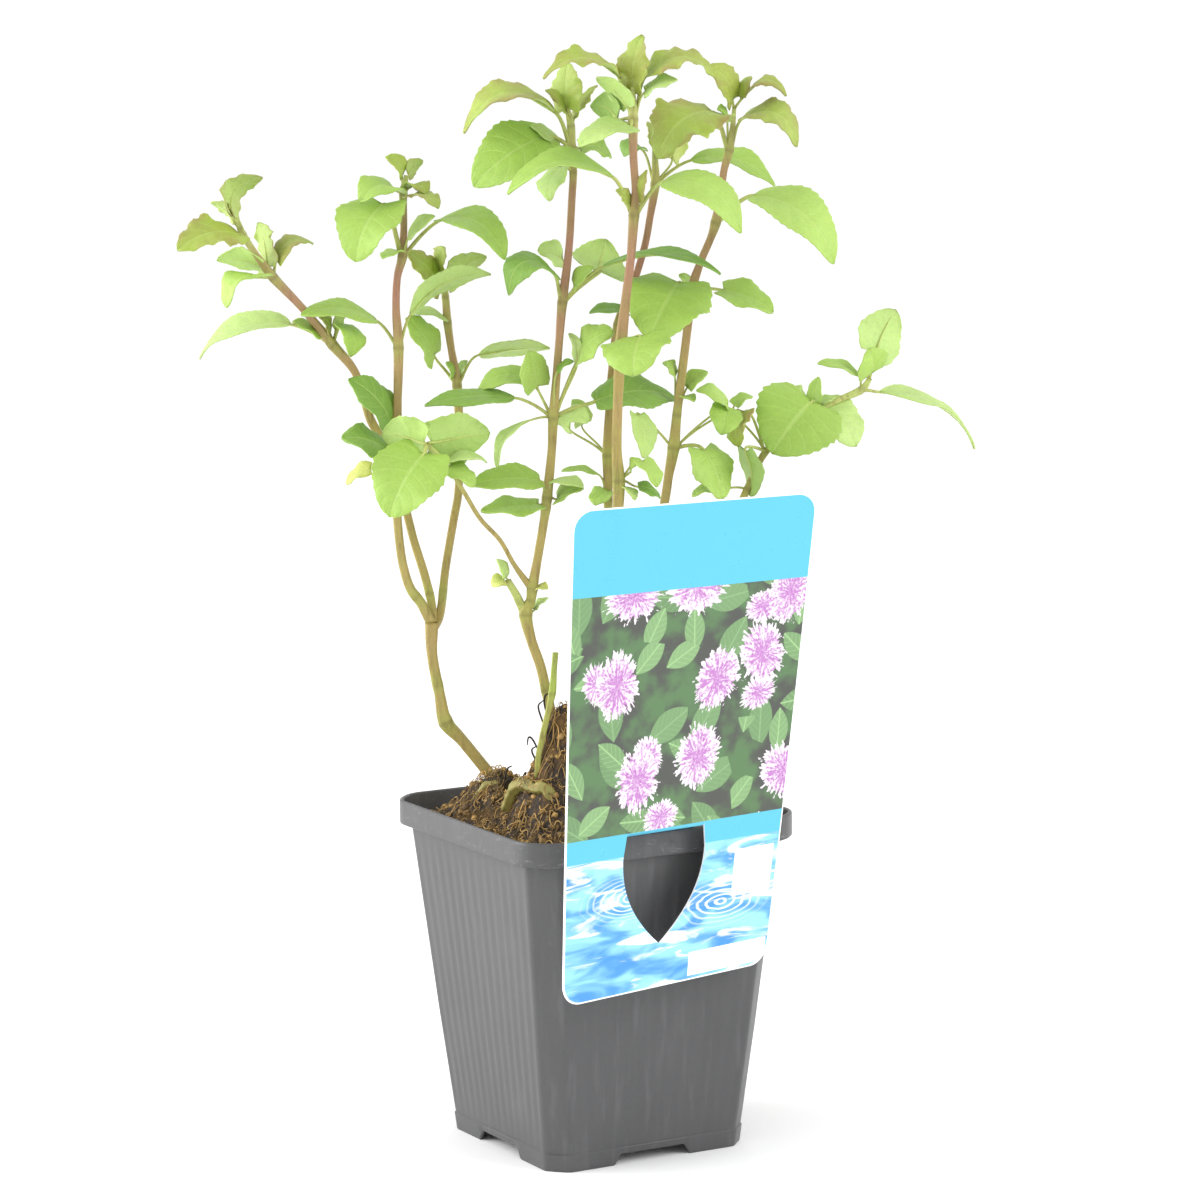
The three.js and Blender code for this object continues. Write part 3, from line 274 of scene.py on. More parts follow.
grow("shoot_back", [
    (3.5, 0, 82, 3), (3.5, 0, 119, 3), (4.5, 8, 151.5, 2.8), (5, 13, 186, 2.8), (5, 14, 199, 3.5),
    (5.5, 14, 211, 2.6), (6.5, 14, 224, 2.5), (8.5, 14, 237, 3.3), (11, 14, 244, 2.4),
    (14, 14, 252, 2.3), (16.5, 14, 260.5, 2.3), (18, 14, 268.5, 2.3), (19.5, 14, 277.5, 3),
    (19.5, 14, 284.5, 2), (19.5, 14, 290, 1.3),
], [
    (237, (2.5, -2, 3.5), (-11, -2, 0.5), 9, 1, 15, "d"),
    (199, (-7.5, -1, 9), (-2.5, -1, 7.5), 8, 1, 65, "p"),
    (199, (-11, 1, 7.5), (-5.5, 3, 2.5), 7, 1, -50),
    (186, (-3, -1, 7.5), (-10.5, -2, 1.5), 5, 1, 15),
    (186, (0.5, -3, 2.5), (-4.5, -3, -3.5), 11, 1, 5),
    (277.5, (5, 1, 7), (5.5, 2, 9.5), 11, 2, 60, "y"),
    (277.5, (10.5, 2, 6.5), (24.5, -3, -7), 14, 4, -20),
    (277.5, (-4, 0, 10), (-5, -2, -2), 11, 2, 15, "d"),
    (286.5, (0, 0, 2), (-2, 0, 7), 7, 0.5, 25, "o"),
])
grow("shoot_right", [
    (10.5, -6, 82, 3.2), (10.5, -6, 120, 3.2), (14, -3, 147.5, 3), (18.5, 0, 173, 2.9),
    (21.5, 2, 188, 2.9), (22.5, 2, 194.5, 2.9), (24, 2, 202.5, 3.8), (25, 2, 212, 2.8),
    (26.5, 2, 223.5, 2.8), (28, 2, 235, 2.7), (29.5, 2, 247.5, 3.3), (32, 2, 255.5, 2.4),
    (35, 2, 262.5, 2.4), (36.5, 2, 267, 3.2), (38, 2, 275, 2.3), (39, 2, 282, 2.3),
    (40.5, 2, 287.5, 2.8), (41.5, 2, 294, 1.8), (42, 2, 299.5, 1.2),
], [
    (247.5, (-4, -3, 2.5), (-8.5, -19, -14), 25, 2, 20),
    (247.5, (9, 1, 0), (14.5, -3, -6), 14, 1, -25),
    (247.5, (-1.5, 2, 1), (-2, 2, 3.5), 5, 1, -75),
    (267, (11, -1, 7.5), (23, -8, -19), 20, 6, -25),
    (267, (2, 1, 4.5), (3.5, 2, 2), 5, 1, -10),
    (287.5, (-5, -3, 11), (-16, -9, -12.5), 22, 5, 25, "o"),
    (287.5, (4, 0, 9), (15.5, -5, -8), 13, 6.5, -25, "o"),
    (287.5, (-0.5, -2, 9.5), (-3, -3, 2.5), 6, 1, 45),
    (299.5, (-0.5, 0, 2.5), (-7, -3, 10), 12, 2, 55, "o"),
    (299.5, (2, 1, 3), (3, 1, 6), 7, 1, -10, "o"),
    (299.5, (4, 0, 4.5), (11, -3, -1), 9, 4, -15, "o"),
    (202.5, (15.5, 0, 12), (-9, -3, 5), 9, 2, 30),
    (202.5, (15.5, -1, 11.5), (-2, -7, -7), 10, 1, 25),
    (202.5, (-10.5, -5, 10), (2, -4, -12), 11, 1, 25, "p"),
    (202.5, (8.5, -2, -0.5), (5.5, -4, -14), 16, 1, -10),
    (212, (3, 1, 7.5), (6, 1, 4.5), 8, 1, -25),
    (212, (-0.5, 0, 11), (-3.5, -1, 4), 7, 1, 35),
    (212, (2, -1, 5), (3, -3, -1), 5, 0.5, -5),
])
grow("shoot_side", [
    (15.5, -12, 82, 2.8), (15.5, -12, 120, 2.8), (25, -8, 145, 2.6), (37, -2, 173, 2.4),
    (45, 2, 190, 2.3), (50.5, 5, 200.5, 2.2), (59.5, 9, 208, 2), (65, 12, 211.5, 2.6),
    (72.5, 15, 214.5, 1.9), (79, 18, 217, 2.4), (81.5, 20, 220, 1.5),
], [
    (211.5, (-1, -3, 3), (-12, -9, -14), 27, 3, 45),
    (211.5, (2.5, 2, 1.5), (9.5, -6, -11.5), 17, 2, -20, "p"),
    (211.5, (-2.5, 3, 1.5), (-4.5, 5, 4), 8, 1, -60, "p"),
    (211.5, (0, 0, 1.5), (1, 0, 8.5), 6, 0.3, -45),
    (211.5, (2, 1, 2), (4.5, 1, 2), 5, 0.5, -15, "p"),
    (220, (2, 3, 7.5), (6, 5, 12), 16, 1, 100, "p"),
    (220, (0.5, -1, 2), (-1, -6, 7.5), 12, 1, 135),
    (217, (-1, -1, 4.5), (-12, -3, 4), 8, 1, 20),
    (217, (5.5, 2, -1), (29.5, 10, -17.5), 14, 5, -15, "p"),
    (200.5, (-6, -6, 1), (2, 1, -13.5), 13, 1, 0, "d"),
    (200.5, (-6, -2, 12), (-2, -3, -10), 11, 2, -20, "o"),
    (200.5, (-9, 0, 13.5), (5.5, 2, 2.5), 6, 1, -15),
    (190, (-10, -2, 0.5), (-6, -1, -2), 6, 1, 15),
])
grow("cut_stem", [
    (-16, -19, 82, 2), (-16, -19, 112, 2), (-14.7, -18.4, 121, 2), (-12.8, -17.1, 129, 2),
    (-11.5, -16, 135, 2.4), (-11, -16, 141, 1.9), (-10.5, -16, 146, 1.9),
])
grow("runner_near", [
    (-35.5, 0.5, 97, 3.2), (-32.3, -0.3, 103, 3.6), (-28.5, -1, 105, 4), (-24.8, -1.6, 102.6, 3.6),
    (-22, -2, 96.5, 3.2),
])
grow("runner_far", [
    (-25.5, -13.5, 100, 3), (-23, -16.4, 106.4, 3.4), (-19.8, -20.2, 108.8, 3.8),
    (-16.8, -23.8, 108, 3), (-13.6, -25.4, 108.2, 3.8), (-10.4, -26.4, 103, 3),
])

# Dark roots and threads on the soil, each a list of (across, away, up).
THREADS = [
    [(-26, -4, 104), (-25.6, -4.5, 108), (-24.8, -5, 110.5), (-23.6, -5, 111.2)],
    [(-21, -5, 102), (-20.6, -5.2, 107), (-19.6, -5.5, 109.4), (-19.9, -5.6, 107.4)],
    [(-23.5, -6, 101.5), (-21.8, -7, 105.2), (-19.6, -7.6, 104.4), (-18.4, -8, 102.5)],
    [(-11.5, -16, 118), (-14.6, -16.4, 126.6), (-15.6, -16.6, 130.6), (-14.1, -16.8, 132.4)],
    [(-10.5, -15, 120), (-13.8, -15.5, 130.3), (-13.2, -15.8, 134), (-11.4, -15.9, 132.4)],
    [(-12.4, -18, 108), (-16.4, -18.6, 115.2), (-17.6, -19, 118.3), (-16.2, -19.4, 119.6)],
    [(-13.4, -17, 112), (-16.8, -17.4, 120.2), (-18.4, -17.8, 121.9), (-18.9, -18.2, 119.6)],
]


# ---- Settings ----


def paint(red, green, blue):
    """A display colour, 0 to 255 a channel, as linear light."""
    shares = np.array([red, green, blue]) / 255
    light = np.where(shares <= 0.04045, shares / 12.92, ((shares + 0.055) / 1.055) ** 2.4)
    return tuple(float(channel) for channel in light)


def number_setting(name, default, description, kind=bpy.props.FloatProperty, **more):
    """A number, 0 or more, that a user may change."""
    return kind(name=name, description=description, default=default, **{"min": 0, **more})


def length_setting(name, millimetres, description):
    """A length in millimetres."""
    return number_setting(name, millimetres, description, precision=3)


def count_setting(name, amount, description):
    """A number of like things."""
    return number_setting(name, amount, description, bpy.props.IntProperty)


def share_setting(name, share, description):
    """A share from 0 to 1."""
    return number_setting(name, share, description, max=1.0, subtype="FACTOR")


def strength_setting(name, strength, description):
    """The strength of a light, in watts."""
    return number_setting(name, strength, description, unit="POWER")


def angle_setting(name, degrees, description):
    """An angle."""
    least = -math.pi
    return number_setting(name, math.radians(degrees), description, min=least, unit="ROTATION")


def colour_setting(name, colour, description):
    """A colour that a user may change."""
    return bpy.props.FloatVectorProperty(
        name=name, description=description, default=colour, min=0.0, max=1.0, size=3,
        subtype="COLOR",
    )


class MintPotSettings(bpy.types.PropertyGroup):
    """Sizes and colours of the nursery pot."""

    edge: length_setting("Edge radius", 0.45, "Radius of the rim's and ledge's edges, in mm")
    corner: length_setting("Corner radius", 2.6, "Radius where a corner facet meets a side, in mm")
    rim_corner: length_setting("Rim corner", 9.5, "Radius of the rim band's corners, in mm")
    flute_pitch: length_setting("Flute pitch", 4.4, "Distance from one flute to the next, in mm")
    flute_depth: length_setting("Flute depth", 0.12, "Depth of the flutes, in mm")
    foot_step: length_setting("Foot step", 0.3, "How far the wall steps in above its foot, in mm")
    plastic: colour_setting("Plastic", paint(74, 74, 75), "Colour of the moulded plastic")
    scuff: colour_setting("Scuffs", paint(150, 150, 152), "Colour of rubbed plastic")


class MintSoilSettings(bpy.types.PropertyGroup):
    """Sizes and colours of the peat."""

    fibres: count_setting("Fibres", 2300, "Number of curly fibres on the peat")
    crumbs: count_setting("Crumbs", 560, "Number of loose crumbs on the peat")
    grain: length_setting("Grain", 1.1, "Height of the peat's own lumps, in mm")
    peat: colour_setting("Peat", paint(38, 27, 17), "Colour of the damp peat")
    dry: colour_setting("Dry peat", paint(104, 78, 42), "Colour of the dry crumbs")
    fibre: colour_setting("Fibre", paint(224, 182, 108), "Colour of the fibres")
    moss: colour_setting("Moss", paint(98, 106, 50), "Colour of the green bloom on the peat")


class MintLabelSettings(bpy.types.PropertyGroup):
    """Sizes and colours of the plant label."""

    thickness: length_setting("Thickness", 0.5, "Thickness of the card, in mm")
    border: length_setting("Border", 0.4, "Width of the white border, in mm")
    card: colour_setting("Card", paint(246, 247, 248), "Colour of the bare card")
    sky: colour_setting("Header", paint(86, 184, 212), "Colour of the header and the strip")
    water: colour_setting("Water", paint(66, 142, 214), "Deepest colour of the water print")
    blossom: colour_setting("Blossom", paint(180, 118, 184), "Colour of the printed blossoms")
    foliage: colour_setting("Foliage", paint(84, 118, 76), "Colour of the printed leaves")
    shade: colour_setting("Ground", paint(72, 74, 69), "Colour behind the printed leaves")


class MintLeafSettings(bpy.types.PropertyGroup):
    """Sizes and colours of the leaves."""

    thickness: length_setting("Thickness", 0.36, "Thickness of a blade, in mm")
    tooth_pitch: length_setting("Tooth pitch", 2.3, "Distance from tooth to tooth, in mm")
    tooth_depth: share_setting("Tooth depth", 0.055, "Depth of a tooth, by the half width")
    quilt: length_setting("Quilting", 0.32, "How far the blade swells between its veins, in mm")
    wave: share_setting("Wave", 0.16, "How far the edges wave, by the half width")
    droop: share_setting("Droop", 0.04, "How far the tip hangs, by the blade's length")
    fresh: colour_setting("Fresh", paint(156, 188, 84), "Colour of a grown leaf")
    deep: colour_setting("Deep", paint(92, 138, 40), "Colour of a darker leaf")
    young: colour_setting("Young", paint(152, 168, 58), "Colour of the youngest leaves")
    bronze: colour_setting("Bronze", paint(144, 98, 74), "Blush on the youngest leaves")
    # Also laid over the whole of a pale-tinted blade: partly the underside seen, and partly painted
    # light shining through the blade.
    under: colour_setting("Underside", paint(180, 204, 128), "Colour of a leaf's underside")
    yellow: colour_setting("Yellow", paint(196, 192, 94), "Colour of an ageing leaf")
    vein: colour_setting("Vein", paint(184, 206, 120), "Colour of the veins")


class MintStemSettings(bpy.types.PropertyGroup):
    """Sizes and colours of the stems."""

    step: length_setting("Step", 1.2, "Distance from ring to ring along a stem, in mm")
    joint: share_setting("Joint", 0.07, "How far the ring at a joint stands out, by the thickness")
    stalk: length_setting("Stalk", 1.15, "Thickness of a leaf's stalk, in mm")
    tan: colour_setting("Lower stem", paint(164, 148, 82), "Colour of the older stems")
    blush: colour_setting("Blush", paint(156, 114, 90), "Colour of the young stems")
    green: colour_setting("Green", paint(154, 170, 74), "Colour of fresh stems and runners")
    tender: colour_setting("Stalks", paint(176, 192, 106), "Colour of stalks and midribs")
    scar: colour_setting("Scar", paint(102, 80, 50), "Colour of marks at the joints")


class MintStageSettings(bpy.types.PropertyGroup):
    """Floor, light and camera."""

    floor: colour_setting("Floor", (0.97, 0.97, 0.97), "Colour of the floor")
    sky: number_setting("Sky", 1.05, "Strength of the light from all round")
    fill: strength_setting("Fill light", 11.0, "Power of the soft light in front on the right")
    back: strength_setting("Back light", 21.0, "Power of the soft light behind on the left")
    azimuth: angle_setting("Azimuth", -29.33, "Camera's turn about the plant")
    elevation: angle_setting("Elevation", 8.47, "Camera's height over the plant, as an angle")
    roll: angle_setting("Roll", -0.59, "Camera's roll")
    distance: length_setting("Distance", 1299.3, "Camera's distance from the plant, in mm")


SETTINGS = {
    "mint_pot": MintPotSettings,
    "mint_soil": MintSoilSettings,
    "mint_label": MintLabelSettings,
    "mint_leaf": MintLeafSettings,
    "mint_stem": MintStemSettings,
    "mint_stage": MintStageSettings,
}


# ---- Curves and directions ----

UP = np.array([0.0, 0.0, 1.0])


def unit(vectors):
    """The vectors at length 1, along the last axis. A vector of no length stays so."""
    return vectors / np.maximum(np.linalg.norm(vectors, axis=-1, keepdims=True), 1e-9)


def bell(distance, reach):
    """A bell of a distance: 1 at 0, fading out past the reach."""
    return np.exp(-((distance / reach) ** 2))


def round_circle(count):
    """The angles of a number of places round a circle."""
    return 2 * math.pi * np.arange(count) / count


def square_to(direction, tangent):
    """The part of a direction that is square to the tangents, at length 1."""
    share = (direction * tangent).sum(axis=-1, keepdims=True)
    return unit(direction - share * tangent)


def turned(points, degrees):
    """Points turned about Z: x' = x cos - y sin and y' = x sin + y cos."""
    angle = math.radians(degrees)
    c, s = math.cos(angle), math.sin(angle)
    return points @ np.array([[c, s, 0.0], [-s, c, 0.0], [0.0, 0.0, 1.0]])


def in_pot(points):
    """Points of the turned plant frame, in the pot's frame."""
    return turned(points, SPREAD_TURN)


def smooth_route(route, places):
    """Points of a Catmull-Rom curve through a route, and its tangents.

    A place is the number of the span plus the share t of it. The point is the cubic
    with the route's own points at its ends and half the step between the
    neighbours as its slope there. The end spans mirror their neighbour.
    """
    route = np.asarray(route, float)
    padded = np.vstack([2 * route[0] - route[1], route, 2 * route[-1] - route[-2]])
    span = np.minimum(places.astype(int), len(route) - 2)
    t = (places - span)[:, None]
    p0, p1, p2, p3 = (padded[span + k] for k in range(4))
    a = 2 * p0 - 5 * p1 + 4 * p2 - p3
    b = 3 * p1 - 3 * p2 + p3 - p0
    point = 0.5 * (2 * p1 + (p2 - p0) * t + a * t**2 + b * t**3)
    slope = 0.5 * ((p2 - p0) + 2 * a * t + 3 * b * t**2)
    return point, unit(slope)


def hermite(start, leaving, end, arriving, t):
    """A cubic from one point and direction to another at t, from 0 to 1."""
    t = t[:, None]
    s = 1 - t
    return (
        start * s**2 * (1 + 2 * t) + leaving * t * s**2
        + end * t**2 * (3 - 2 * t) - arriving * t**2 * s
    )


def carried_side(tangents, side):
    """A side direction carried along a path: at each step the last one, made square
    to the new tangent, so that a section turns as little as it can."""
    sides = np.empty_like(tangents)
    for i, tangent in enumerate(tangents):
        side = square_to(side, tangent)
        sides[i] = side
    return sides


def ripple(x, y, size, rng, waves=14):
    """Smooth random relief about 0: a sum of sines in random directions, whose wave
    lengths lie round the given size."""
    total = np.zeros_like(x)
    for _ in range(waves):
        angle, phase = rng.uniform(0, 2 * math.pi, 2)
        pitch = size * rng.uniform(0.7, 1.5)
        total += np.sin(2 * math.pi * (x * math.cos(angle) + y * math.sin(angle)) / pitch + phase)
    return total / math.sqrt(waves)


# ---- Meshes ----


class Surface:
    """The vertices, faces, UVs and named attributes of one piece, in millimetres."""

    def __init__(self, *names):
        self.points, self.quads, self.tris, self.uvs = [], [], [], []
        self.values = {name: [] for name in names}
        self.count = 0

    def add(self, points, quads, tris, uv, values):
        """Adds one closed body. Its faces are turned outwards: the sum of the signed
        tetrahedra from its middle to its faces has to be positive."""
        middle = points - points.mean(axis=0)
        corners = middle[np.vstack([quads[:, [0, 1, 2]], quads[:, [0, 2, 3]], tris])]
        volume = np.einsum("ij,ij->", corners[:, 0], np.cross(corners[:, 1], corners[:, 2]))
        if volume < 0:
            quads, tris = quads[:, ::-1], tris[:, ::-1]
        self.points.append(points)
        self.quads.append(quads + self.count)
        self.tris.append(tris + self.count)
        self.uvs.append(np.broadcast_to(uv, (len(points), 2)))
        for name, parts in self.values.items():
            parts.append(np.broadcast_to(values.get(name, 0.0), (len(points),)))
        self.count += len(points)

    def loft(self, rings, uv=(0.0, 0.0), **values):
        """Rings of points, skinned in order and closed by a fan at each end. An
        attribute is one number, or one for each ring, or one for each point."""
        rows, columns, _ = rings.shape
        ends = rings[[0, -1]].mean(axis=1)
        points = np.vstack([rings.reshape(-1, 3), ends])
        i, j = np.meshgrid(np.arange(rows - 1), np.arange(columns), indexing="ij")
        k = (j + 1) % columns
        quads = np.stack([i * columns + j, i * columns + k, (i + 1) * columns + k,
                          (i + 1) * columns + j], axis=-1).reshape(-1, 4)
        around = np.arange(columns)
        after = (around + 1) % columns
        last = (rows - 1) * columns
        first_fan = np.stack([after, around, np.full(columns, rows * columns)], axis=-1)
        last_fan = np.stack([last + around, last + after,
                             np.full(columns, rows * columns + 1)], axis=-1)
        spread = {name: self._per_point(value, rows, columns) for name, value in values.items()}
        uv = np.asarray(uv, float)
        if uv.ndim == 3:
            uv = np.vstack([uv.reshape(-1, 2), uv[[0, -1]].mean(axis=1)])
        self.add(points, quads, np.vstack([first_fan, last_fan]), uv, spread)

    @staticmethod
    def _per_point(value, rows, columns):
        """An attribute of a loft as one number for each of its points."""
        value = np.asarray(value, float)
        if value.ndim == 1:
            value = value[:, None]
        value = np.broadcast_to(value, (rows, columns))
        return np.concatenate([value.ravel(), value[[0, -1]].mean(axis=1)])

    def tube(self, path, tangents, sides, radii, section, **values):
        """A section carried along a path of the turned plant: each ring is the path's
        point plus the section's own radius, turned from the side towards the binormal."""
        path, tangents, sides = in_pot(path), in_pot(tangents), in_pot(sides)
        other = np.cross(tangents, sides)
        angles = round_circle(len(section))
        across = (section * np.cos(angles))[None, :, None] * sides[:, None, :]
        upward = (section * np.sin(angles))[None, :, None] * other[:, None, :]
        rings = path[:, None, :] + radii[:, None, None] * (across + upward)
        self.loft(rings, **values)


def make_mesh(name, surface):
    """A mesh of a surface, in metres, with its UV map and its attributes."""
    points = np.concatenate(surface.points) * MM
    quads, tris = np.concatenate(surface.quads), np.concatenate(surface.tris)
    loops = np.concatenate([quads.ravel(), tris.ravel()]).astype(np.int32)
    starts = np.concatenate([
        4 * np.arange(len(quads)), 4 * len(quads) + 3 * np.arange(len(tris)),
    ]).astype(np.int32)
    mesh = bpy.data.meshes.new(name)
    mesh.vertices.add(len(points))
    mesh.vertices.foreach_set("co", points.astype(np.float32).ravel())
    mesh.loops.add(len(loops))
    mesh.loops.foreach_set("vertex_index", loops)
    mesh.polygons.add(len(starts))
    mesh.polygons.foreach_set("loop_start", starts)
    mesh.update(calc_edges=True)
    uvs = np.concatenate(surface.uvs)[loops]
    mesh.uv_layers.new(name="UVMap").data.foreach_set("uv", uvs.astype(np.float32).ravel())
    for attribute, parts in surface.values.items():
        layer = mesh.attributes.new(attribute, "FLOAT", "POINT")
        layer.data.foreach_set("value", np.concatenate(parts).astype(np.float32))
    mesh.validate()
    mesh.shade_smooth()
    return mesh


def into_scene(name, data):
    """A new object of a mesh, a light or a camera, in the scene."""
    thing = bpy.data.objects.new(name, data)
    bpy.context.scene.collection.objects.link(thing)
    return thing


def place_piece(name, mesh, materials, slot, *nodes):
    """Puts a piece into the scene: it rides on the plant and stands for its nodes. Its slot is not
    used."""
    piece = into_scene(name, mesh)
    for material in materials:
        mesh.materials.append(material)
    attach(piece, "root")
    if nodes:
        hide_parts(*nodes)
    return piece


def place_surface(name, surface, material, slot, *nodes):
    """Puts a piece of one material into the scene, from its surface."""
    return place_piece(name, make_mesh(name, surface), [material], slot, *nodes)


# ---- Shader building ----


class Weave:
    """Adds shader nodes to a tree by short calls. A value is a number, a colour or
    another node's socket."""

    def __init__(self, tree, material=None):
        self.tree, self.material = tree, material

    def put(self, socket, value):
        """Sets an input to a value, or links a socket to it."""
        if isinstance(value, bpy.types.NodeSocket):
            self.tree.links.new(value, socket)
        elif socket.type == "RGBA" and len(value) == 3:
            socket.default_value = (*value, 1.0)
        else:
            socket.default_value = value

    def node(self, kind, inputs, output=0, **settings):
        """A node with its settings and inputs. Gives one of its outputs."""
        node = self.tree.nodes.new("ShaderNode" + kind)
        for key, value in settings.items():
            setattr(node, key, value)
        for key, value in inputs.items():
            self.put(node.inputs[key], value)
        return node.outputs[output]

    def math(self, operation, *values):
        """One step of arithmetic."""
        return self.node("Math", dict(enumerate(values)), operation=operation)

    def plus(self, first, second):
        """A sum."""
        return self.math("ADD", first, second)

    def minus(self, first, second):
        """A difference."""
        return self.math("SUBTRACT", first, second)

    def times(self, first, second):
        """A product."""
        return self.math("MULTIPLY", first, second)

    def over(self, value, limit):
        """1 where a value is over a limit, and 0 elsewhere."""
        return self.math("GREATER_THAN", value, limit)

    def vector(self, operation, *values, output=0):
        """One step of arithmetic on vectors."""
        return self.node("VectorMath", dict(enumerate(values)), output, operation=operation)

    def mix(self, factor, first, second):
        """A mix of two colours."""
        return self.node("Mix", {"Factor": factor, 6: first, 7: second}, 2, data_type="RGBA")

    def steps(self, value, low, high, start=0.0, end=1.0):
        """A smooth step from start to end while the value goes from low to high."""
        inputs = {"Value": value, "From Min": low, "From Max": high, "To Min": start, "To Max": end}
        return self.node("MapRange", inputs, interpolation_type="SMOOTHSTEP")

    def noise(self, place, scale, detail=3.0, roughness=0.55, distortion=0.0):
        """Smooth noise from 0 to 1."""
        inputs = {"Vector": place, "Scale": scale, "Detail": detail, "Roughness": roughness,
                  "Distortion": distortion}
        return self.node("TexNoise", inputs)

    def stretched(self, place, scale):
        """A place with each axis scaled by its own amount."""
        return self.node("Mapping", {"Vector": place, "Scale": scale})

    def attribute(self, name):
        """A number that the mesh holds at each point."""
        return self.node("Attribute", {}, "Fac", attribute_name=name)

    def group(self, tree, inputs, output=0):
        """A node group with its inputs."""
        return self.node("Group", inputs, output, node_tree=tree)

    def bump(self, height, distance, strength=1.0):
        """A surface normal tilted by a height, whose full range is a distance in mm."""
        inputs = {"Height": height, "Distance": distance * MM, "Strength": strength}
        return self.node("Bump", inputs, "Normal")

    def place(self):
        """The place on the plant, in metres."""
        return self.node("TexCoord", {}, "Object")

    def give(self, **results):
        """Links what a group has worked out to its outputs."""
        output = self.tree.nodes.new("NodeGroupOutput")
        for name, value in results.items():
            self.put(output.inputs[name], value)

    def finish(self, colour, rough, normal=None, **constants):
        """Makes the material's shader. A constant is named as its input is, with
        underscores, and is set on the shader itself. Gives the material."""
        shader = self.tree.nodes.new("ShaderNodeBsdfPrincipled")
        output = self.tree.nodes.new("ShaderNodeOutputMaterial")
        self.tree.links.new(shader.outputs["BSDF"], output.inputs["Surface"])
        self.put(shader.inputs["Base Color"], colour)
        self.put(shader.inputs["Roughness"], rough)
        if normal:
            self.put(shader.inputs["Normal"], normal)
        for name, value in constants.items():
            shader.inputs[name.replace("_", " ")].default_value = value
        return self.material


def new_material(name):
    """The weave of a new material's empty tree."""
    material = bpy.data.materials.new(name)
    material.use_nodes = True
    material.node_tree.nodes.clear()
    return Weave(material.node_tree, material)


def new_group(name, inputs, outputs):
    """An empty node group: its tree, weave and input node. Each input and output has a
    name and a kind of value."""
    tree = bpy.data.node_groups.new(name, "ShaderNodeTree")
    for sockets, side in ((inputs, "INPUT"), (outputs, "OUTPUT")):
        for label, kind in sockets.items():
            tree.interface.new_socket(label, in_out=side, socket_type="NodeSocket" + kind)
    return tree, Weave(tree), tree.nodes.new("NodeGroupInput").outputs


def shared_group(name, build):
    """A node group by name, built the first time it is asked for."""
    return bpy.data.node_groups.get(name) or build(name)


def mottle_group(name):
    """Two sizes of noise that lighten and darken a colour."""
    tree, weave, given = new_group(name, {
        "Colour": "Color", "Place": "Vector", "Coarse": "Float", "Fine": "Float",
        "Amount": "Float",
    }, {"Colour": "Color"})
    coarse = weave.noise(given["Place"], given["Coarse"], 4.0)
    fine = weave.noise(given["Place"], given["Fine"], 3.0)
    mask = weave.plus(weave.times(coarse, 0.6), weave.times(fine, 0.4))
    swing = weave.times(weave.minus(mask, 0.5), weave.times(given["Amount"], 4.0))
    inputs = {0: given["Colour"], "Scale": weave.plus(swing, 1.0)}
    weave.give(Colour=weave.node("VectorMath", inputs, operation="SCALE"))
    return tree


def mottled(weave, colour, place, coarse, fine, amount):
    """A colour with the mottle group laid over it."""
    inputs = {"Colour": colour, "Place": place, "Coarse": coarse, "Fine": fine, "Amount": amount}
    return weave.group(shared_group("mottle", mottle_group), inputs)


# ---- Materials ----


def plastic_material(look):
    """Satin moulded plastic: flow marks down the wall, and rubbed spots on the rim."""
    weave = new_material("pot_plastic")
    place = weave.place()
    height = weave.node("SeparateXYZ", {"Vector": place}, "Z")
    streaks = weave.noise(weave.stretched(place, (1, 1, 0.06)), 420, 3)
    colour = mottled(weave, look.plastic, place, 45, 900, 0.12)
    colour = weave.mix(weave.steps(streaks, 0.5, 0.8, 0, 0.1), colour, look.scuff)
    on_band = weave.steps(height, (SHOULDER - 1) * MM, SHOULDER * MM)
    scratch = weave.noise(weave.stretched(place, (1, 1, 2.4)), 150, 6, 0.75, 1.5)
    rubbed = weave.times(weave.steps(scratch, 0.56, 0.72), on_band)
    colour = weave.mix(weave.times(rubbed, 0.5), colour, look.scuff)
    rough = weave.plus(weave.times(streaks, 0.2), 0.3)
    rough = weave.plus(rough, weave.times(rubbed, 0.2))
    grain = weave.noise(place, 2600, 2)
    relief = weave.plus(weave.times(grain, 0.3), streaks)
    return weave.finish(colour, rough, weave.bump(relief, 0.05, 0.5))


def peat_material(look):
    """Damp peat: dark, with dry crumbs, amber grains and a green bloom near the runners."""
    weave = new_material("peat")
    place = weave.place()
    grains = weave.node("TexVoronoi", {"Vector": place, "Scale": 900}, "Distance")
    lumps = weave.noise(place, 210, 5, 0.65)
    colour = weave.mix(weave.steps(lumps, 0.42, 0.68), look.peat, look.dry)
    amber = weave.noise(place, 620, 2)
    colour = weave.mix(weave.steps(amber, 0.6, 0.75, 0, 0.6), colour, look.fibre)
    bloom = weave.times(weave.attribute("moss"), weave.steps(lumps, 0.35, 0.6))
    colour = weave.mix(bloom, colour, look.moss)
    rough = weave.steps(lumps, 0.3, 0.7, 0.65, 0.95)
    relief = weave.minus(lumps, weave.times(grains, 0.5))
    return weave.finish(colour, rough, weave.bump(relief, 0.8))


def fibre_material(look):
    """Dry curly fibre, from pale straw to dark root by the piece's own attributes."""
    weave = new_material("peat_fibre")
    place = weave.place()
    colour = weave.mix(weave.attribute("age"), look.fibre, look.peat)
    dull = weave.times(weave.attribute("dull"), 0.6)
    colour = mottled(weave, weave.mix(dull, colour, look.dry), place, 160, 900, 0.3)
    rough = weave.steps(weave.noise(place, 500), 0.2, 0.8, 0.55, 0.85)
    return weave.finish(colour, rough)


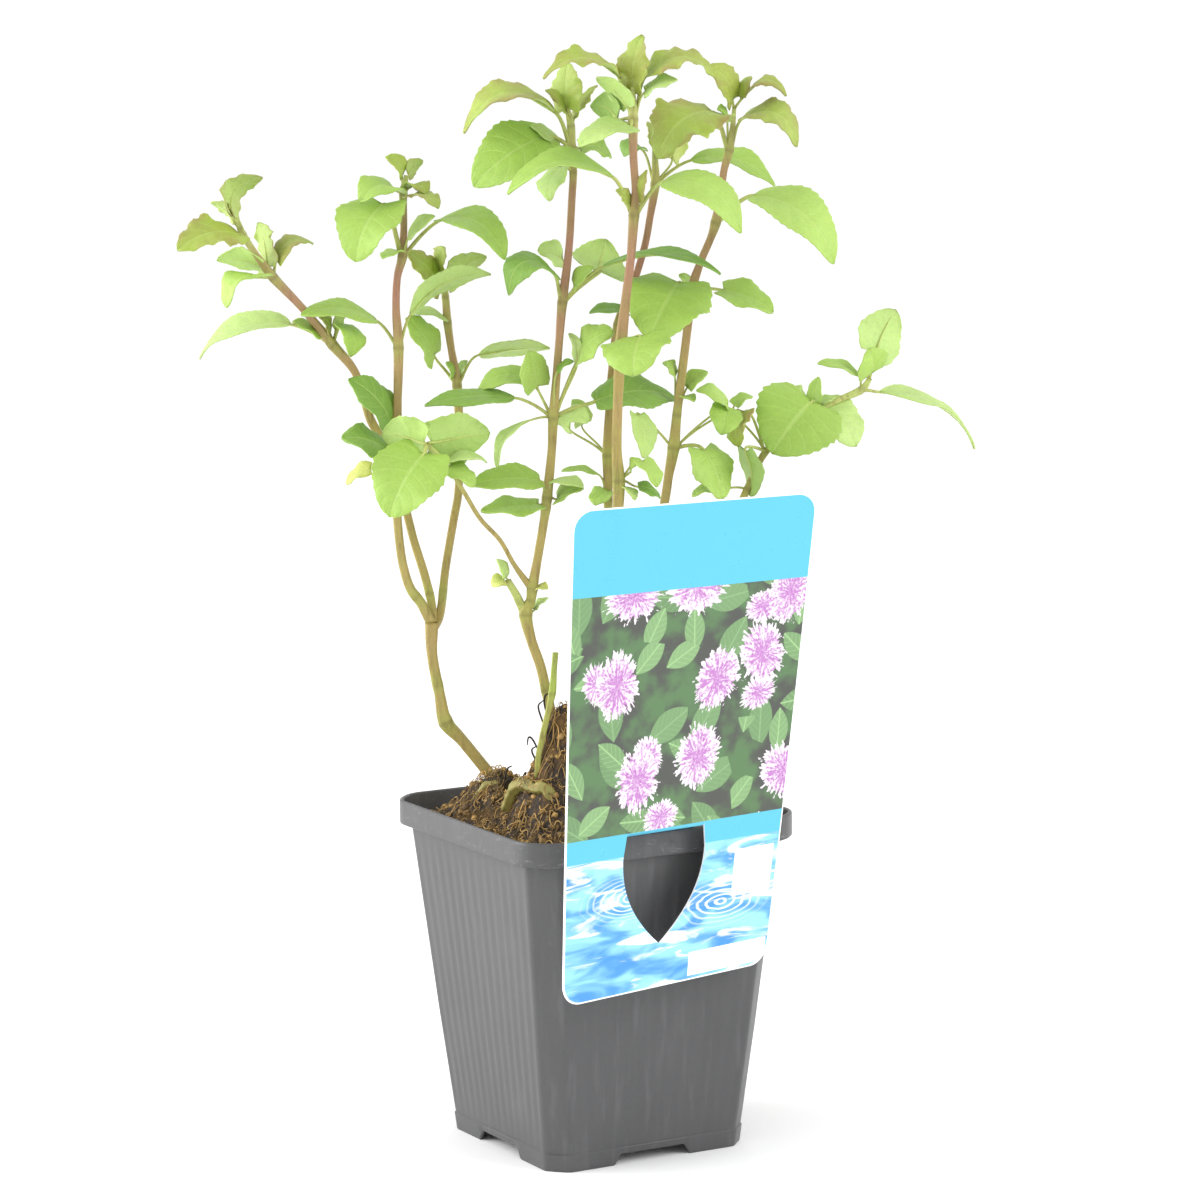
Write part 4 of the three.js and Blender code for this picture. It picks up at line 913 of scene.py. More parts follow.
def stem_material(look):
    """Stem skin: tan below, blushed above, green on the stalks, scarred at the joints."""
    weave = new_material("mint_stem")
    place = weave.place()
    streaks = weave.noise(weave.stretched(place, (1, 1, 0.12)), 700, 4, 0.6)
    patches = weave.noise(place, 60, 3)
    blush = weave.plus(weave.attribute("blush"), weave.steps(patches, 0.3, 0.75, -0.3, 0.3))
    colour = weave.mix(weave.node("Clamp", {"Value": blush}), look.tan, look.blush)
    colour = weave.mix(weave.attribute("green"), colour, look.green)
    colour = weave.mix(weave.attribute("tender"), colour, look.tender)
    colour = weave.mix(weave.times(weave.attribute("scar"), 0.4), colour, look.scar)
    colour = weave.mix(weave.steps(streaks, 0.5, 0.72, 0, 0.45), colour, look.scar)
    colour = mottled(weave, colour, place, 120, 1500, 0.2)
    rough = weave.steps(streaks, 0.2, 0.8, 0.42, 0.6)
    return weave.finish(
        colour, rough, weave.bump(streaks, 0.12, 0.6), Subsurface_Weight=0.12,
        Subsurface_Radius=(1, 0.7, 0.3), Subsurface_Scale=0.8 * MM,
    )


def vein_group(name):
    """The veins of a blade from its own UV, u along and v across from -1 to 1, and the
    net between them. A side vein leaves the midrib and runs forward, so it lies where
    u less a bend by v is half a step past one of equal places. The midrib is at v 0."""
    tree, weave, given = new_group(
        name, {"Along": "Float", "Across": "Float", "Place": "Vector"},
        {"Veins": "Float", "Net": "Float"},
    )
    along, across = given["Along"], weave.math("ABSOLUTE", given["Across"])
    slant = weave.plus(weave.times(along, VEIN_RISE), VEIN_START)
    bend = weave.times(slant, weave.math("POWER", across, VEIN_BEND))
    phase = weave.times(weave.minus(along, bend), VEINS)
    off = weave.math("ABSOLUTE", weave.minus(weave.math("FRACT", phase), 0.5))
    side = weave.steps(off, 0.40, 0.49)
    side = weave.times(side, weave.steps(across, 0.75, 1, 1, 0.15))
    middle = weave.steps(across, 0.02, 0.075, 1, 0)
    veins = weave.math("MAXIMUM", weave.times(side, 0.45), middle)
    inputs = {"Vector": given["Place"], "Scale": 1300}
    cells = weave.node("TexVoronoi", inputs, "Distance", feature="DISTANCE_TO_EDGE")
    weave.give(Veins=veins, Net=weave.steps(cells, 0, 0.18, 1, 0))
    return tree


def leaf_material(look):
    """Leaf skin: a green by the leaf's tint, veined and netted, paler below."""
    weave = new_material("mint_leaf")
    place = weave.place()
    uv = weave.node("SeparateXYZ", {"Vector": weave.node("UVMap", {}, uv_map="UVMap")}, "X")
    along, across = uv.node.outputs["X"], uv.node.outputs["Y"]
    inputs = {"Along": along, "Across": across, "Place": place}
    veins = weave.group(shared_group("veins", vein_group), inputs, "Veins")
    net = veins.node.outputs["Net"]
    under, young = weave.attribute("under"), weave.attribute("young")
    colour = weave.mix(weave.attribute("deep"), look.fresh, look.deep)
    colour = weave.mix(young, colour, look.young)
    rim = weave.math("POWER", weave.math("ABSOLUTE", across), 3)
    cloud = weave.noise(place, 110, 4)
    blush = weave.times(young, weave.steps(cloud, 0.35, 0.65))
    blush = weave.times(blush, weave.plus(weave.times(rim, 0.6), 0.3))
    colour = weave.mix(blush, colour, look.bronze)
    colour = weave.mix(weave.attribute("yellow"), colour, look.yellow)
    # A pale tint lays the underside's colour over both faces: partly the underside seen, and partly
    # painted light shining through the blade.
    paler = weave.math("MAXIMUM", weave.times(under, 0.5), weave.attribute("pale"))
    colour = weave.mix(paler, colour, look.under)
    colour = mottled(weave, colour, place, 70, 900, 0.16)
    colour = weave.mix(weave.times(net, 0.06), colour, look.vein)
    colour = weave.mix(weave.times(veins, 0.35), colour, look.vein)
    rough = weave.steps(cloud, 0.2, 0.8, 0.46, 0.62)
    sunk = weave.minus(1, weave.plus(veins, weave.times(net, 0.35)))
    raised = weave.minus(1, sunk)
    relief = weave.node("Mix", {"Factor": under, 2: sunk, 3: raised})
    return weave.finish(
        colour, rough, weave.bump(relief, 0.12, 0.8), Subsurface_Weight=0.2,
        Subsurface_Radius=(0.8, 1, 0.25), Subsurface_Scale=1.2 * MM,
    )


def scatter_group(name):
    """Cells of a flat pattern: the place in a cell turned by the cell's own angle, and
    a random number for each cell."""
    tree, weave, given = new_group(
        name, {"Place": "Vector", "Scale": "Float", "Shift": "Vector"},
        {"Local": "Vector", "Random": "Float"},
    )
    moved = weave.vector("ADD", given["Place"], given["Shift"])
    inputs = {"Vector": moved, "Scale": given["Scale"], "Randomness": 0.6}
    cell = weave.node("TexVoronoi", inputs, "Position", voronoi_dimensions="2D")
    local = weave.vector("SUBTRACT", moved, cell)
    random = weave.node("TexWhiteNoise", {"Vector": cell}, "Value", noise_dimensions="2D")
    inputs = {"Vector": local, "Angle": weave.times(random, 2 * math.pi)}
    spun = weave.node("VectorRotate", inputs, rotation_type="Z_AXIS")
    weave.give(Local=spun, Random=random)
    return tree


def scattered(weave, place, size, shift):
    """Cells of about a size in mm: the turned place in the cell, and its random number."""
    inputs = {"Place": place, "Scale": 1 / size, "Shift": shift}
    local = weave.group(shared_group("scatter", scatter_group), inputs, "Local")
    return local, local.node.outputs["Random"]


def printed_leaves(weave, ground, place, size, shift, look, light):
    """Pointed leaves scattered over a ground: each is where |y| is below a parabola in
    x, with a pale midrib and side veins."""
    local, random = scattered(weave, place, size, shift)
    apart = weave.node("SeparateXYZ", {"Vector": local}, "X")
    x, y = apart, weave.math("ABSOLUTE", apart.node.outputs["Y"])
    run = weave.math("DIVIDE", x, 0.52 * size)
    width = weave.times(weave.minus(1, weave.times(run, run)), 0.27 * size)
    body = weave.steps(weave.minus(width, y), 0, 0.35)
    rib = weave.steps(y, 0.1, 0.35, 1, 0)
    side = weave.math("SINE", weave.times(weave.minus(x, y), 3.2))
    veins = weave.math("MAXIMUM", rib, weave.steps(side, 0.75, 1, 0, 0.5))
    leaf = weave.mix(weave.steps(random, 0, 1, 0, 0.6), look.foliage, light)
    leaf = weave.mix(veins, leaf, light)
    shown = weave.times(body, weave.over(random, 0.4))
    return weave.mix(shown, ground, leaf)


PETAL_WHITE = (0.80, 0.74, 0.80)
FLOWER_HEART = (0.26, 0.07, 0.15)


def printed_blossoms(weave, ground, place, size, shift, look, bare):
    """Oval heads of thin petals scattered over a ground, but for a bare share of the
    cells. A head reaches out to a radius that a noise, drawn out along the petals,
    makes ragged."""
    local, random = scattered(weave, place, size, shift)
    oval = weave.stretched(local, (0.78, 1, 1))
    apart = weave.node("SeparateXYZ", {"Vector": oval}, "X")
    angle = weave.math("ARCTAN2", apart.node.outputs["Y"], apart)
    reach = weave.vector("LENGTH", oval, output="Value")
    around = weave.node("CombineXYZ", {
        "X": weave.times(angle, 8), "Y": weave.times(reach, 0.4),
        "Z": weave.times(random, 50),
    })
    streaks = weave.noise(around, 1, 2, 0.6)
    florets = weave.noise(place, 1.3, 3, 0.65)
    radius = weave.plus(weave.times(streaks, 0.30 * size), 0.12 * size)
    body = weave.steps(weave.minus(radius, reach), 0, 0.3)
    petals = weave.plus(weave.times(streaks, 0.5), weave.times(florets, 0.4))
    petals = weave.plus(petals, weave.times(reach, 0.45 / size))
    flower = weave.mix(weave.steps(petals, 0.46, 0.6), look.blossom, PETAL_WHITE)
    flower = weave.mix(weave.steps(florets, 0.30, 0.42, 0.6, 0), flower, FLOWER_HEART)
    shown = weave.times(body, weave.over(random, bare))
    return weave.mix(shown, ground, flower)


GLARE = (0.95, 0.98, 1)
PALE_WATER = (0.30, 0.68, 0.95)
WATER_RINGS = [(24, 27, 2.6), (58, 21, 3.4)]  # middle x, middle y, pitch, in mm


def water_print(weave, place, look):
    """Water: two sets of stretched rings about the window, broken by glare."""
    swirl = weave.noise(weave.stretched(place, (0.05, 0.16, 1)), 1, 3, 0.5, 0.6)
    colour = weave.mix(weave.steps(swirl, 0.35, 0.62), look.water, PALE_WATER)
    for x, y, pitch in WATER_RINGS:
        offset = weave.vector("SUBTRACT", place, (x, y, 0))
        flat = weave.stretched(offset, (1, 2.5, 1))
        reach = weave.vector("LENGTH", flat, output="Value")
        reach = weave.plus(reach, weave.times(swirl, 6))
        ring = weave.math("SINE", weave.times(reach, 2 * math.pi / pitch))
        fading = weave.steps(reach, 4, 26, 0.9, 0)
        colour = weave.mix(weave.times(weave.steps(ring, 0.2, 0.95), fading), colour, GLARE)
    glare = weave.noise(weave.stretched(place, (0.045, 0.22, 1)), 1, 4, 0.55, 1.2)
    return weave.mix(weave.steps(glare, 0.52, 0.66), colour, GLARE)


# Layers of the picture, the last on top: size of a cell in mm, the pattern's shift, and
# the light green of its leaves or the share of its cells that have no blossom.
PRINTED_LEAVES = [
    (16, (3, 8, 0), (0.22, 0.38, 0.17)), (13, (31, 17, 0), (0.30, 0.50, 0.22)),
]
PRINTED_BLOSSOMS = [(17, (9, 5, 0), 0.65), (26, (40, 22, 0), 0.15)]


def label_material(look):
    """The card's printed face by zones, from its UV in mm: header, picture, strip and
    water, with two bare patches and a white border."""
    weave = new_material("label_print")
    uv = weave.node("UVMap", {}, uv_map="UVMap")
    place = weave.stretched(uv, (LABEL_WIDTH, LABEL_TOP - LABEL_BOTTOM, 1))
    apart = weave.node("SeparateXYZ", {"Vector": place}, "X")
    x, y = apart, apart.node.outputs["Y"]
    haze = weave.noise(place, 0.09, 3, 0.5)
    picture = weave.mix(weave.steps(haze, 0.4, 0.62), look.shade, look.foliage)
    for size, shift, light in PRINTED_LEAVES:
        picture = printed_leaves(weave, picture, place, size, shift, look, light)
    for size, shift, bare in PRINTED_BLOSSOMS:
        picture = printed_blossoms(weave, picture, place, size, shift, look, bare)
    colour = water_print(weave, place, look)
    for bottom, print_above in (
        (STRIP_BOTTOM, look.sky), (PICTURE_BOTTOM, picture), (HEADER_BOTTOM, look.sky),
    ):
        colour = weave.mix(weave.over(y, bottom), colour, print_above)
    for left, right, bottom, top in BARE_PATCHES:
        inside = weave.times(weave.over(x, left), weave.over(right, x))
        inside = weave.times(inside, weave.times(weave.over(y, bottom), weave.over(top, y)))
        colour = weave.mix(inside, colour, look.card)
    colour = weave.mix(weave.over(look.border, weave.attribute("edge")), colour, look.card)
    rough = weave.steps(weave.noise(place, 0.12, 4), 0.3, 0.7, 0.26, 0.4)
    return weave.finish(colour, rough, weave.bump(weave.noise(place, 0.05, 2), 0.2, 0.4))


def card_material(look):
    """The card's bare back and its cut edge."""
    weave = new_material("label_card")
    place = weave.place()
    colour = mottled(weave, look.card, place, 60, 800, 0.04)
    rough = weave.steps(weave.noise(place, 90), 0.3, 0.7, 0.32, 0.46)
    return weave.finish(colour, rough)


def floor_material(look):
    """Plain matt floor, a little uneven in its gloss."""
    weave = new_material("studio_floor")
    rough = weave.steps(weave.noise(weave.place(), 3), 0.3, 0.7, 0.85, 0.95)
    return weave.finish(tuple(look.floor), rough, Specular_IOR_Level=0.1)


# ---- Leaves ----

# A share is by the blade's length, and by the half width where it says across.
VEINS = 6  # side veins on each side of a blade
VEIN_START = 0.10  # how far a side vein runs forward at the base, as a share
VEIN_RISE = 0.25  # how much further it runs forward at the tip
VEIN_BEND = 1.1  # power of the share across by which a side vein bends
FEWEST_TEETH, MOST_TEETH = 3, 13
TOOTH_POINT = 0.7  # where a tooth has its point, by the tooth's length
TOOTH_GROWTH = (7, 9)  # how fast the teeth grow from the base and from the tip
YOUNG_TOOTH = 0.5  # how much deeper the teeth of a young blade are
ACROSS = [(12, 17), (8, 11), (0, 7)]  # least width of a blade in mm, samples across it
TIP_HALF = 0.12  # half width of a blade's very tip
LEAST_HALF = 0.4  # half width of a blade where it meets its stalk
LOBE_PLACE = 0.055  # where a broad blade's lobes reach back most, as a share
LOBE_REACH = 0.18  # how far they reach back there, as a share
WAVE_RANGE = (0.3, 1.0)  # how strong a blade's waves are, at random
BOW_RANGE = (-0.16, 0.04)  # how far a blade bows across, at random
LONG_WAVES, SHORT_WAVES = 1.6, 4.3  # waves along an edge; the short ones on young blades
YOUNG_WAVE = 0.8  # how high the short waves are, by the long ones
DROOP_POWER = 5  # power of the share along by which the tip hangs
QUILT_WIDTH = 14  # width in mm from which a blade swells in full
SHADE_RANGE = (-0.12, 0.12)  # how much darker or paler a blade is, at random

RIB_PROUD = 0.08  # how far a midrib reaches up into its blade, in mm
RIB_END = 0.93  # where a midrib ends, as a share
RIB_TAPER, RIB_TIP = 0.78, 0.1  # what a midrib loses along its way, and what is left
STALK_STEP = 1.1  # distance from ring to ring along a stalk, in mm
FULL_WIDTH = 16  # width in mm of a blade whose stalk has its full thickness
STALK_RANGE = (0.6, 1.15)  # thinnest and thickest stalk, by the full thickness
STALK_SECTION = np.array([1.0, 1.0, 0.9, 0.72, 0.9, 1.0, 1.0, 1.0])  # round, with a groove
STALK_BLUSH = (170, 130)  # height where stalks begin to blush, and rise to the full blush
ROUTE_SAMPLES = 40  # close samples of a stem's route, to find a place on it


def stem_at(route, height):
    """The place, tangent and thickness of a stem at a height: the first of its close
    samples that isn't lower."""
    places = np.linspace(0, len(route) - 1, ROUTE_SAMPLES * len(route))
    points, tangents = smooth_route([row[:3] for row in route], places)
    i = min(int(np.searchsorted(points[:, 2], height)), len(places) - 1)
    thickness = np.interp(places[i], np.arange(len(route)), [row[3] for row in route])
    return points[i], tangents[i], thickness


def blade_rows(teeth):
    """Shares along a blade: three rows for each tooth, at its notch, half way up its
    long side and at its point, with one more behind the base."""
    within = np.array([0.0, 0.35, TOOTH_POINT])
    rows = (np.arange(teeth)[:, None] + within).ravel() / teeth
    return np.unique(np.concatenate([rows, [0.35 / teeth, 1.0]]))


class Blade:
    """The frame and size of one blade: base, reach, normal, side and lengths."""

    def __init__(self, base, reach, width, arch, roll):
        self.base, self.reach, self.width, self.arch = base, reach, width, arch
        self.length = np.linalg.norm(reach)
        self.along = reach / self.length
        level = square_to(UP, self.along)
        angle = math.radians(roll)
        self.normal = level * math.cos(angle) - np.cross(self.along, level) * math.sin(angle)
        self.side = np.cross(self.along, self.normal)
        self.breadth = np.clip((width / self.length - 0.55) / 0.4, 0, 1)

    def tangent(self, t):
        """The blade's direction at t: its reach plus the slope of its arch."""
        slope = 4 * self.arch * (1 - 2 * t)
        return unit(self.reach + self.normal * np.asarray(slope)[..., None])

    def middle(self, t):
        """A point of the midrib: straight along the reach, bowed out by a parabola."""
        t = np.asarray(t)[..., None]
        return self.base + self.reach * t + self.normal * 4 * self.arch * t * (1 - t)

    def outline(self, t):
        """Half width at t, by the blade's own: sin(pi t^p)^q. A broad blade is widest
        nearer its base and fuller."""
        peak = 0.8 - 0.16 * self.breadth
        full = 0.75 - 0.15 * self.breadth
        return np.sin(math.pi * np.clip(t, 0, 1) ** peak) ** full


def blade_surface(surface, blade, tint, look, rng):
    """One blade as a thin closed sheet.

    The grid runs t along and s across. A point is the midrib at t, moved sideways by
    s times the half width, lifted by the fold, a bow to either side, the waves at the
    edge and the swelling between the veins, and lowered at the tip. A tooth narrows
    the half width at its notches. The lobes at the base of a broad blade are moved back
    towards the stalk. Each ring of the loft goes over the top and back under the
    bottom, half a thickness to each side.
    """
    teeth = int(np.clip(round(blade.length / look.tooth_pitch), FEWEST_TEETH, MOST_TEETH))
    t = blade_rows(teeth)
    columns = next(samples for least, samples in ACROSS if blade.width >= least)
    s = np.sin(np.linspace(-0.5, 0.5, columns) * math.pi)
    t2, s2 = np.meshgrid(t, s, indexing="ij")
    edge = np.abs(s2)

    young, deep, pale, yellow = tint
    on_tooth = (t2 * teeth) % 1.0
    notch = 1 - np.minimum(on_tooth / TOOTH_POINT, (1 - on_tooth) / (1 - TOOTH_POINT))
    base_growth, tip_growth = TOOTH_GROWTH
    notch *= 1 + YOUNG_TOOTH * young
    notch *= np.clip(t2 * base_growth, 0, 1) * np.clip((1 - t2) * tip_growth, 0, 1)
    half = 0.5 * blade.width * blade.outline(t2) * (1 - look.tooth_depth * notch * edge**5)
    half = np.maximum(half, LEAST_HALF + (TIP_HALF - LEAST_HALF) * t2)

    lobe = (t2 / LOBE_PLACE) * np.exp(1 - t2 / LOBE_PLACE) * edge**2
    back = blade.length * LOBE_REACH * blade.breadth * lobe
    waves = look.wave * rng.uniform(*WAVE_RANGE) * half * edge**3
    phase = rng.uniform(0, 2 * math.pi)
    lift = BLADE_FOLD * half * edge**1.3 + rng.uniform(*BOW_RANGE) * half * edge**2
    lift += waves * np.sin(2 * math.pi * LONG_WAVES * t2 + phase + np.sign(s2))
    short = np.sin(2 * math.pi * SHORT_WAVES * t2 + 2 * phase - np.sign(s2))
    lift += YOUNG_WAVE * young * waves * short
    lift -= look.droop * blade.length * t2**DROOP_POWER
    vein = (t2 - (VEIN_START + VEIN_RISE * t2) * edge**VEIN_BEND) * VEINS
    swell = np.abs(np.sin(math.pi * vein)) ** 0.7 * np.clip(edge * 6, 0, 1) * (1 - edge**6)
    lift += look.quilt * min(1.0, blade.width / QUILT_WIDTH) * swell

    tangent = blade.tangent(t)
    out = np.cross(blade.side, tangent)
    centre = blade.middle(t)
    sheet = centre[:, None, :] + blade.side * (s2 * half)[..., None]
    sheet = sheet - tangent[:, None, :] * back[..., None] + out[:, None, :] * lift[..., None]
    shift = out[:, None, :] * look.thickness / 2
    rings = np.concatenate([sheet + shift, (sheet - shift)[:, ::-1]], axis=1)

    uv = np.stack([np.hstack([t2, t2]), np.hstack([s2, -s2])], axis=-1)
    below = np.concatenate([np.zeros(columns), np.ones(columns)])
    shade = rng.uniform(*SHADE_RANGE)
    # The pale attribute is partly the underside seen, and partly painted light shining through the
    # blade.
    surface.loft(
        in_pot(rings.reshape(-1, 3)).reshape(rings.shape), uv,
        under=np.broadcast_to(below, (len(t), 2 * columns)),
        young=np.clip(young * (1.1 - 0.3 * t), 0, 1), deep=np.clip(deep + shade, 0, 1),
        pale=np.clip(pale - shade, 0, 1), yellow=np.clip(yellow, 0, 1),
    )


def stalk_and_rib(surface, node, blade, droop, look):
    """A leaf's stalk and midrib as one tapering round bar: a cubic that leaves the stem
    bent upwards and comes into line with the blade, then along under the blade, lowered
    with its tip as the blade is."""
    point, stem_tangent, thickness = node
    outward = square_to(blade.base - point, stem_tangent)
    foot = point + ROOT_SHARE * thickness * outward
    line = blade.base - foot
    length = np.linalg.norm(line)
    leaving = line + UP * STALK_LIFT * length
    arriving = blade.tangent(np.array(0.0)) * min(length, STALK_ARRIVAL)
    t_stalk = np.linspace(0, 1, max(6, int(length / STALK_STEP) + 2))
    stalk = hermite(foot, leaving, blade.base, arriving, t_stalk)
    t_rib = np.linspace(0, RIB_END, 10)[1:]
    size = np.clip(blade.width / FULL_WIDTH, *STALK_RANGE) * look.stalk / 2
    rib_radii = size * (RIB_TAPER * (1 - t_rib) + RIB_TIP)
    sunk = rib_radii - RIB_PROUD + droop * blade.length * t_rib**DROOP_POWER
    rib = blade.middle(t_rib) - sunk[:, None] * np.cross(blade.side, blade.tangent(t_rib))
    path = np.vstack([stalk, rib])
    tangents = unit(np.gradient(path, axis=0))
    sides = carried_side(tangents[::-1], blade.side)[::-1]
    radii = np.concatenate([size * (1.15 - 0.3 * t_stalk), rib_radii])
    tender = np.concatenate([0.3 + 0.5 * t_stalk, np.full(len(t_rib), 1.0)])
    start, rise = STALK_BLUSH
    surface.tube(
        path, tangents, sides, radii, STALK_SECTION,
        green=0.5, tender=tender, blush=np.clip((path[:, 2] - start) / rise, 0, 0.5),
    )


STEM_REACH = 0.455  # from a stem's middle to its flat side, by the thickness it shows
STEM_SIDES = 24  # points round a stem
SQUARENESS = 6  # power of the rounded square that a stem's section is
HOLLOW = 0.05  # how far its faces are hollowed, by its radius
BARE_JOINTS = [122.5, 134.0, 160.0]  # heights of joints that have lost their leaves
RING_REACH = 1.1  # how far from a joint its ring fades, in mm,
SCAR_REACH, GREEN_REACH = 0.6, 3.0  # and its scar and its green
BLUSH_START, BLUSH_RISE = 210.0, 45.0  # where stems begin to turn mauve, and over what rise
FRESH_START, FRESH_RISE = 128, 6  # where a fresh stem is greener, and over what rise
TENDER, TENDER_REACH = 0.8, 11.0  # how pale a leafy stem's tip is, and how far down
LUMP, LUMP_TURN = 0.14, 1.9  # height of a worn stem's lumps, and their turn from ring to ring
# How fresh and how worn the stems without leaves are.
BARE_STEMS = {"cut_stem": (1.0, 0.0), "runner_near": (0.7, 0.9), "runner_far": (0.7, 0.9)}


def stem_surface(surface, route, leaves, look, fresh, worn):
    """A square stem: a rounded-square section, radius 1 over the sixth root of
    cos^6 + sin^6, hollowed a little on its faces, carried along the smooth route. A
    ring stands out at each joint, worked out as a bell of the distance from it. The
    blush fades in up the plant, a fresh stem is green and a worn one is lumpy."""
    corners = np.array([row[:3] for row in route], float)
    spans = np.linalg.norm(np.diff(corners, axis=0), axis=1)
    places = np.unique(np.concatenate([
        i + np.linspace(0, 1, int(length / look.step) + 2) for i, length in enumerate(spans)
    ]))
    path, tangents = smooth_route(corners, places)
    thickness = np.interp(places, np.arange(len(route)), [row[3] for row in route])
    height = path[:, 2]
    angles = round_circle(STEM_SIDES)
    square = np.cos(angles) ** SQUARENESS + np.sin(angles) ** SQUARENESS
    section = (1 - HOLLOW * np.cos(2 * angles) ** 2) / square ** (1 / SQUARENESS)
    joints = np.array(sorted({place for place, *_ in leaves} | set(BARE_JOINTS)))
    off = np.abs(height[:, None] - joints).min(axis=1)
    radii = STEM_REACH * thickness * (1 + look.joint * bell(off, RING_REACH))
    radii *= 1 + LUMP * worn * np.sin(LUMP_TURN * np.arange(len(path)))
    sides = carried_side(tangents, np.array([1.0, 0.0, 0.0]))
    above = np.clip((height - FRESH_START) / FRESH_RISE, 0.6, 1)
    surface.tube(
        path, tangents, sides, radii, section,
        blush=np.clip((height - BLUSH_START) / BLUSH_RISE, 0.05, 0.85),
        scar=np.maximum(worn, bell(off, SCAR_REACH)),
        green=np.maximum(fresh * above, 0.5 * bell(off, GREEN_REACH)),
        tender=(TENDER if leaves else 0.0) * bell(height.max() - height, TENDER_REACH),
    )


def build_shoot(name, leaf, stem, leaf_look, stem_look, rng):
    """A shoot as two pieces: its blades, and its stems with the stalks and midribs."""
    blades = Surface("under", "young", "deep", "pale", "yellow")
    bars = Surface("green", "blush", "scar", "tender")
    for route, leaves in SHOOTS[name]:
        stem_surface(bars, route, leaves, stem_look, *BARE_STEMS.get(name, (0.0, 0.0)))
        for height, stalk, reach, width, arch, roll, *tint in leaves:
            node = stem_at(route, height)
            base = node[0] + np.array(stalk, float)
            blade = Blade(base, np.array(reach, float), width, arch, roll)
            blade_surface(blades, blade, TINTS[tint[0] if tint else "g"], leaf_look, rng)
            stalk_and_rib(bars, node, blade, leaf_look.droop, stem_look)
    place_surface(f"{name}_stems", bars, stem, "mint_stem", name)
    if blades.points:
        place_surface(f"{name}_leaves", blades, leaf, "mint_leaf", name)


# ---- Pot ----


def wall_width(z):
    """Width of the outside of the wall at a height: a straight taper."""
    return BASE_WIDTH + (SHOULDER_WIDTH - BASE_WIDTH) * z / SHOULDER


def flutes(look):
    """The number of flutes in a side's whole width."""
    return round(0.5 * (BASE_WIDTH + SHOULDER_WIDTH) / look.flute_pitch)


FLUTE_STEPS = 8  # samples along each flute
ARC_STEPS = 5  # samples round each edge of a corner facet
FLOOR_SHARES = (0.12, 0.5, 0.8)  # rings of the floor, by its width
FOOT_ROWS = (0.3, 1.4, 3.0, 4.4)  # heights of the foot's rings, outside
INNER_FOOT_ROWS = (2.4, 1.2, 0.25)  # and inside, downwards
FOOT_EDGE = 0.3  # how far the foot's rounded edge reaches in
FOOT_GAP_FADE = 6.0  # height where the gaps in the foot no longer lift a ring
STEP_BOTTOM, STEP_TOP = 5.0, 5.3  # the step above the foot
STEP_FADE = 30.0  # height over which the wall comes back from the step
FLUTE_BOTTOM, FLUTE_TOP = 6.4, SHOULDER - 3.2
FLUTE_GROWTH = (6, 4)  # height over which the flutes come in, below and above
FLUTE_SPAN = 0.84  # how far out along a side the flutes run, by its half width
RIM_INSET = 1.2  # from the rim band's edges to its own rings
LEDGE_LIP = 0.4  # how far the ledge inside the rim is rounded
DRAIN_SIDES = 32
SHARP_ANGLE = math.radians(40)  # edges that turn by more stay sharp
# Small moulded marks on the front of the band: x, z, reach in x, reach in z, depth.
RIM_LUGS = [(-4.5, 96.0, 1.6, 1.0, 0.35), (0.5, 95.2, 1.1, 1.3, 0.45), (-9.0, 94.6, 2.2, 0.8, 0.3)]


def pot_ring(width, z, corner, look):
    """A level ring round the pot: a square whose cut corners have rounded edges. It is
    an octagon drawn in by the edge radius, and a circle of that radius carried round it:
    straight runs along the four sides, and at each end of a side an arc of an eighth of
    a turn to the corner's facet."""
    half = width / 2
    flat = half - width * CORNER_SHARE - corner * (math.sqrt(2) - 1)
    near = half - corner
    run = np.linspace(-1, 1, FLUTE_STEPS * flutes(look) + 1) * flat
    arc = np.linspace(0, math.pi / 4, ARC_STEPS)[1:]
    side = np.stack([run, np.full_like(run, -half)], axis=1)
    first = np.stack([flat + corner * np.sin(arc), -near - corner * np.cos(arc)], axis=1)
    second = -first[::-1, ::-1]
    quarters = [np.vstack([side, first, second])]
    for _ in range(3):
        last = quarters[-1]
        quarters.append(np.stack([-last[:, 1], last[:, 0]], axis=1))
    ring = np.vstack(quarters)
    return np.column_stack([ring, np.full(len(ring), z)])


def outward_of(ring):
    """The level outward direction of each point of a ring."""
    step = np.roll(ring, -1, axis=0) - np.roll(ring, 1, axis=0)
    return unit(np.column_stack([step[:, 1], -step[:, 0], np.zeros(len(step))]))


def side_place(ring):
    """How far along its own side each point lies, from the side's middle."""
    return np.where(np.abs(ring[:, 0]) > np.abs(ring[:, 1]), ring[:, 1], ring[:, 0])


def fluted(ring, share, look):
    """A ring with flutes: each point moves inwards by the flute depth times half a
    cosine of its place, at the same count of flutes at every height."""
    place = side_place(ring)
    width = np.abs(ring[:, :2]).max()
    wave = 0.5 - 0.5 * np.cos(2 * math.pi * place / (2 * width) * flutes(look))
    on_side = np.clip((width * FLUTE_SPAN - np.abs(place)) / 2, 0, 1)
    return ring - outward_of(ring) * (look.flute_depth * share * wave * on_side)[:, None]


def notched(ring, z):
    """A ring near the ground with the gap in the middle of each side: its points rise to
    the gap's top, less with height, so that the rows above stay level."""
    place = np.abs(side_place(ring))
    slope = (NOTCH_GROUND - NOTCH_TOP) / 2
    open_share = np.clip((NOTCH_GROUND / 2 - place) / slope, 0, 1)
    ring = ring.copy()
    ring[:, 2] = z + NOTCH_HEIGHT * open_share * max(0.0, 1 - z / FOOT_GAP_FADE)
    return ring


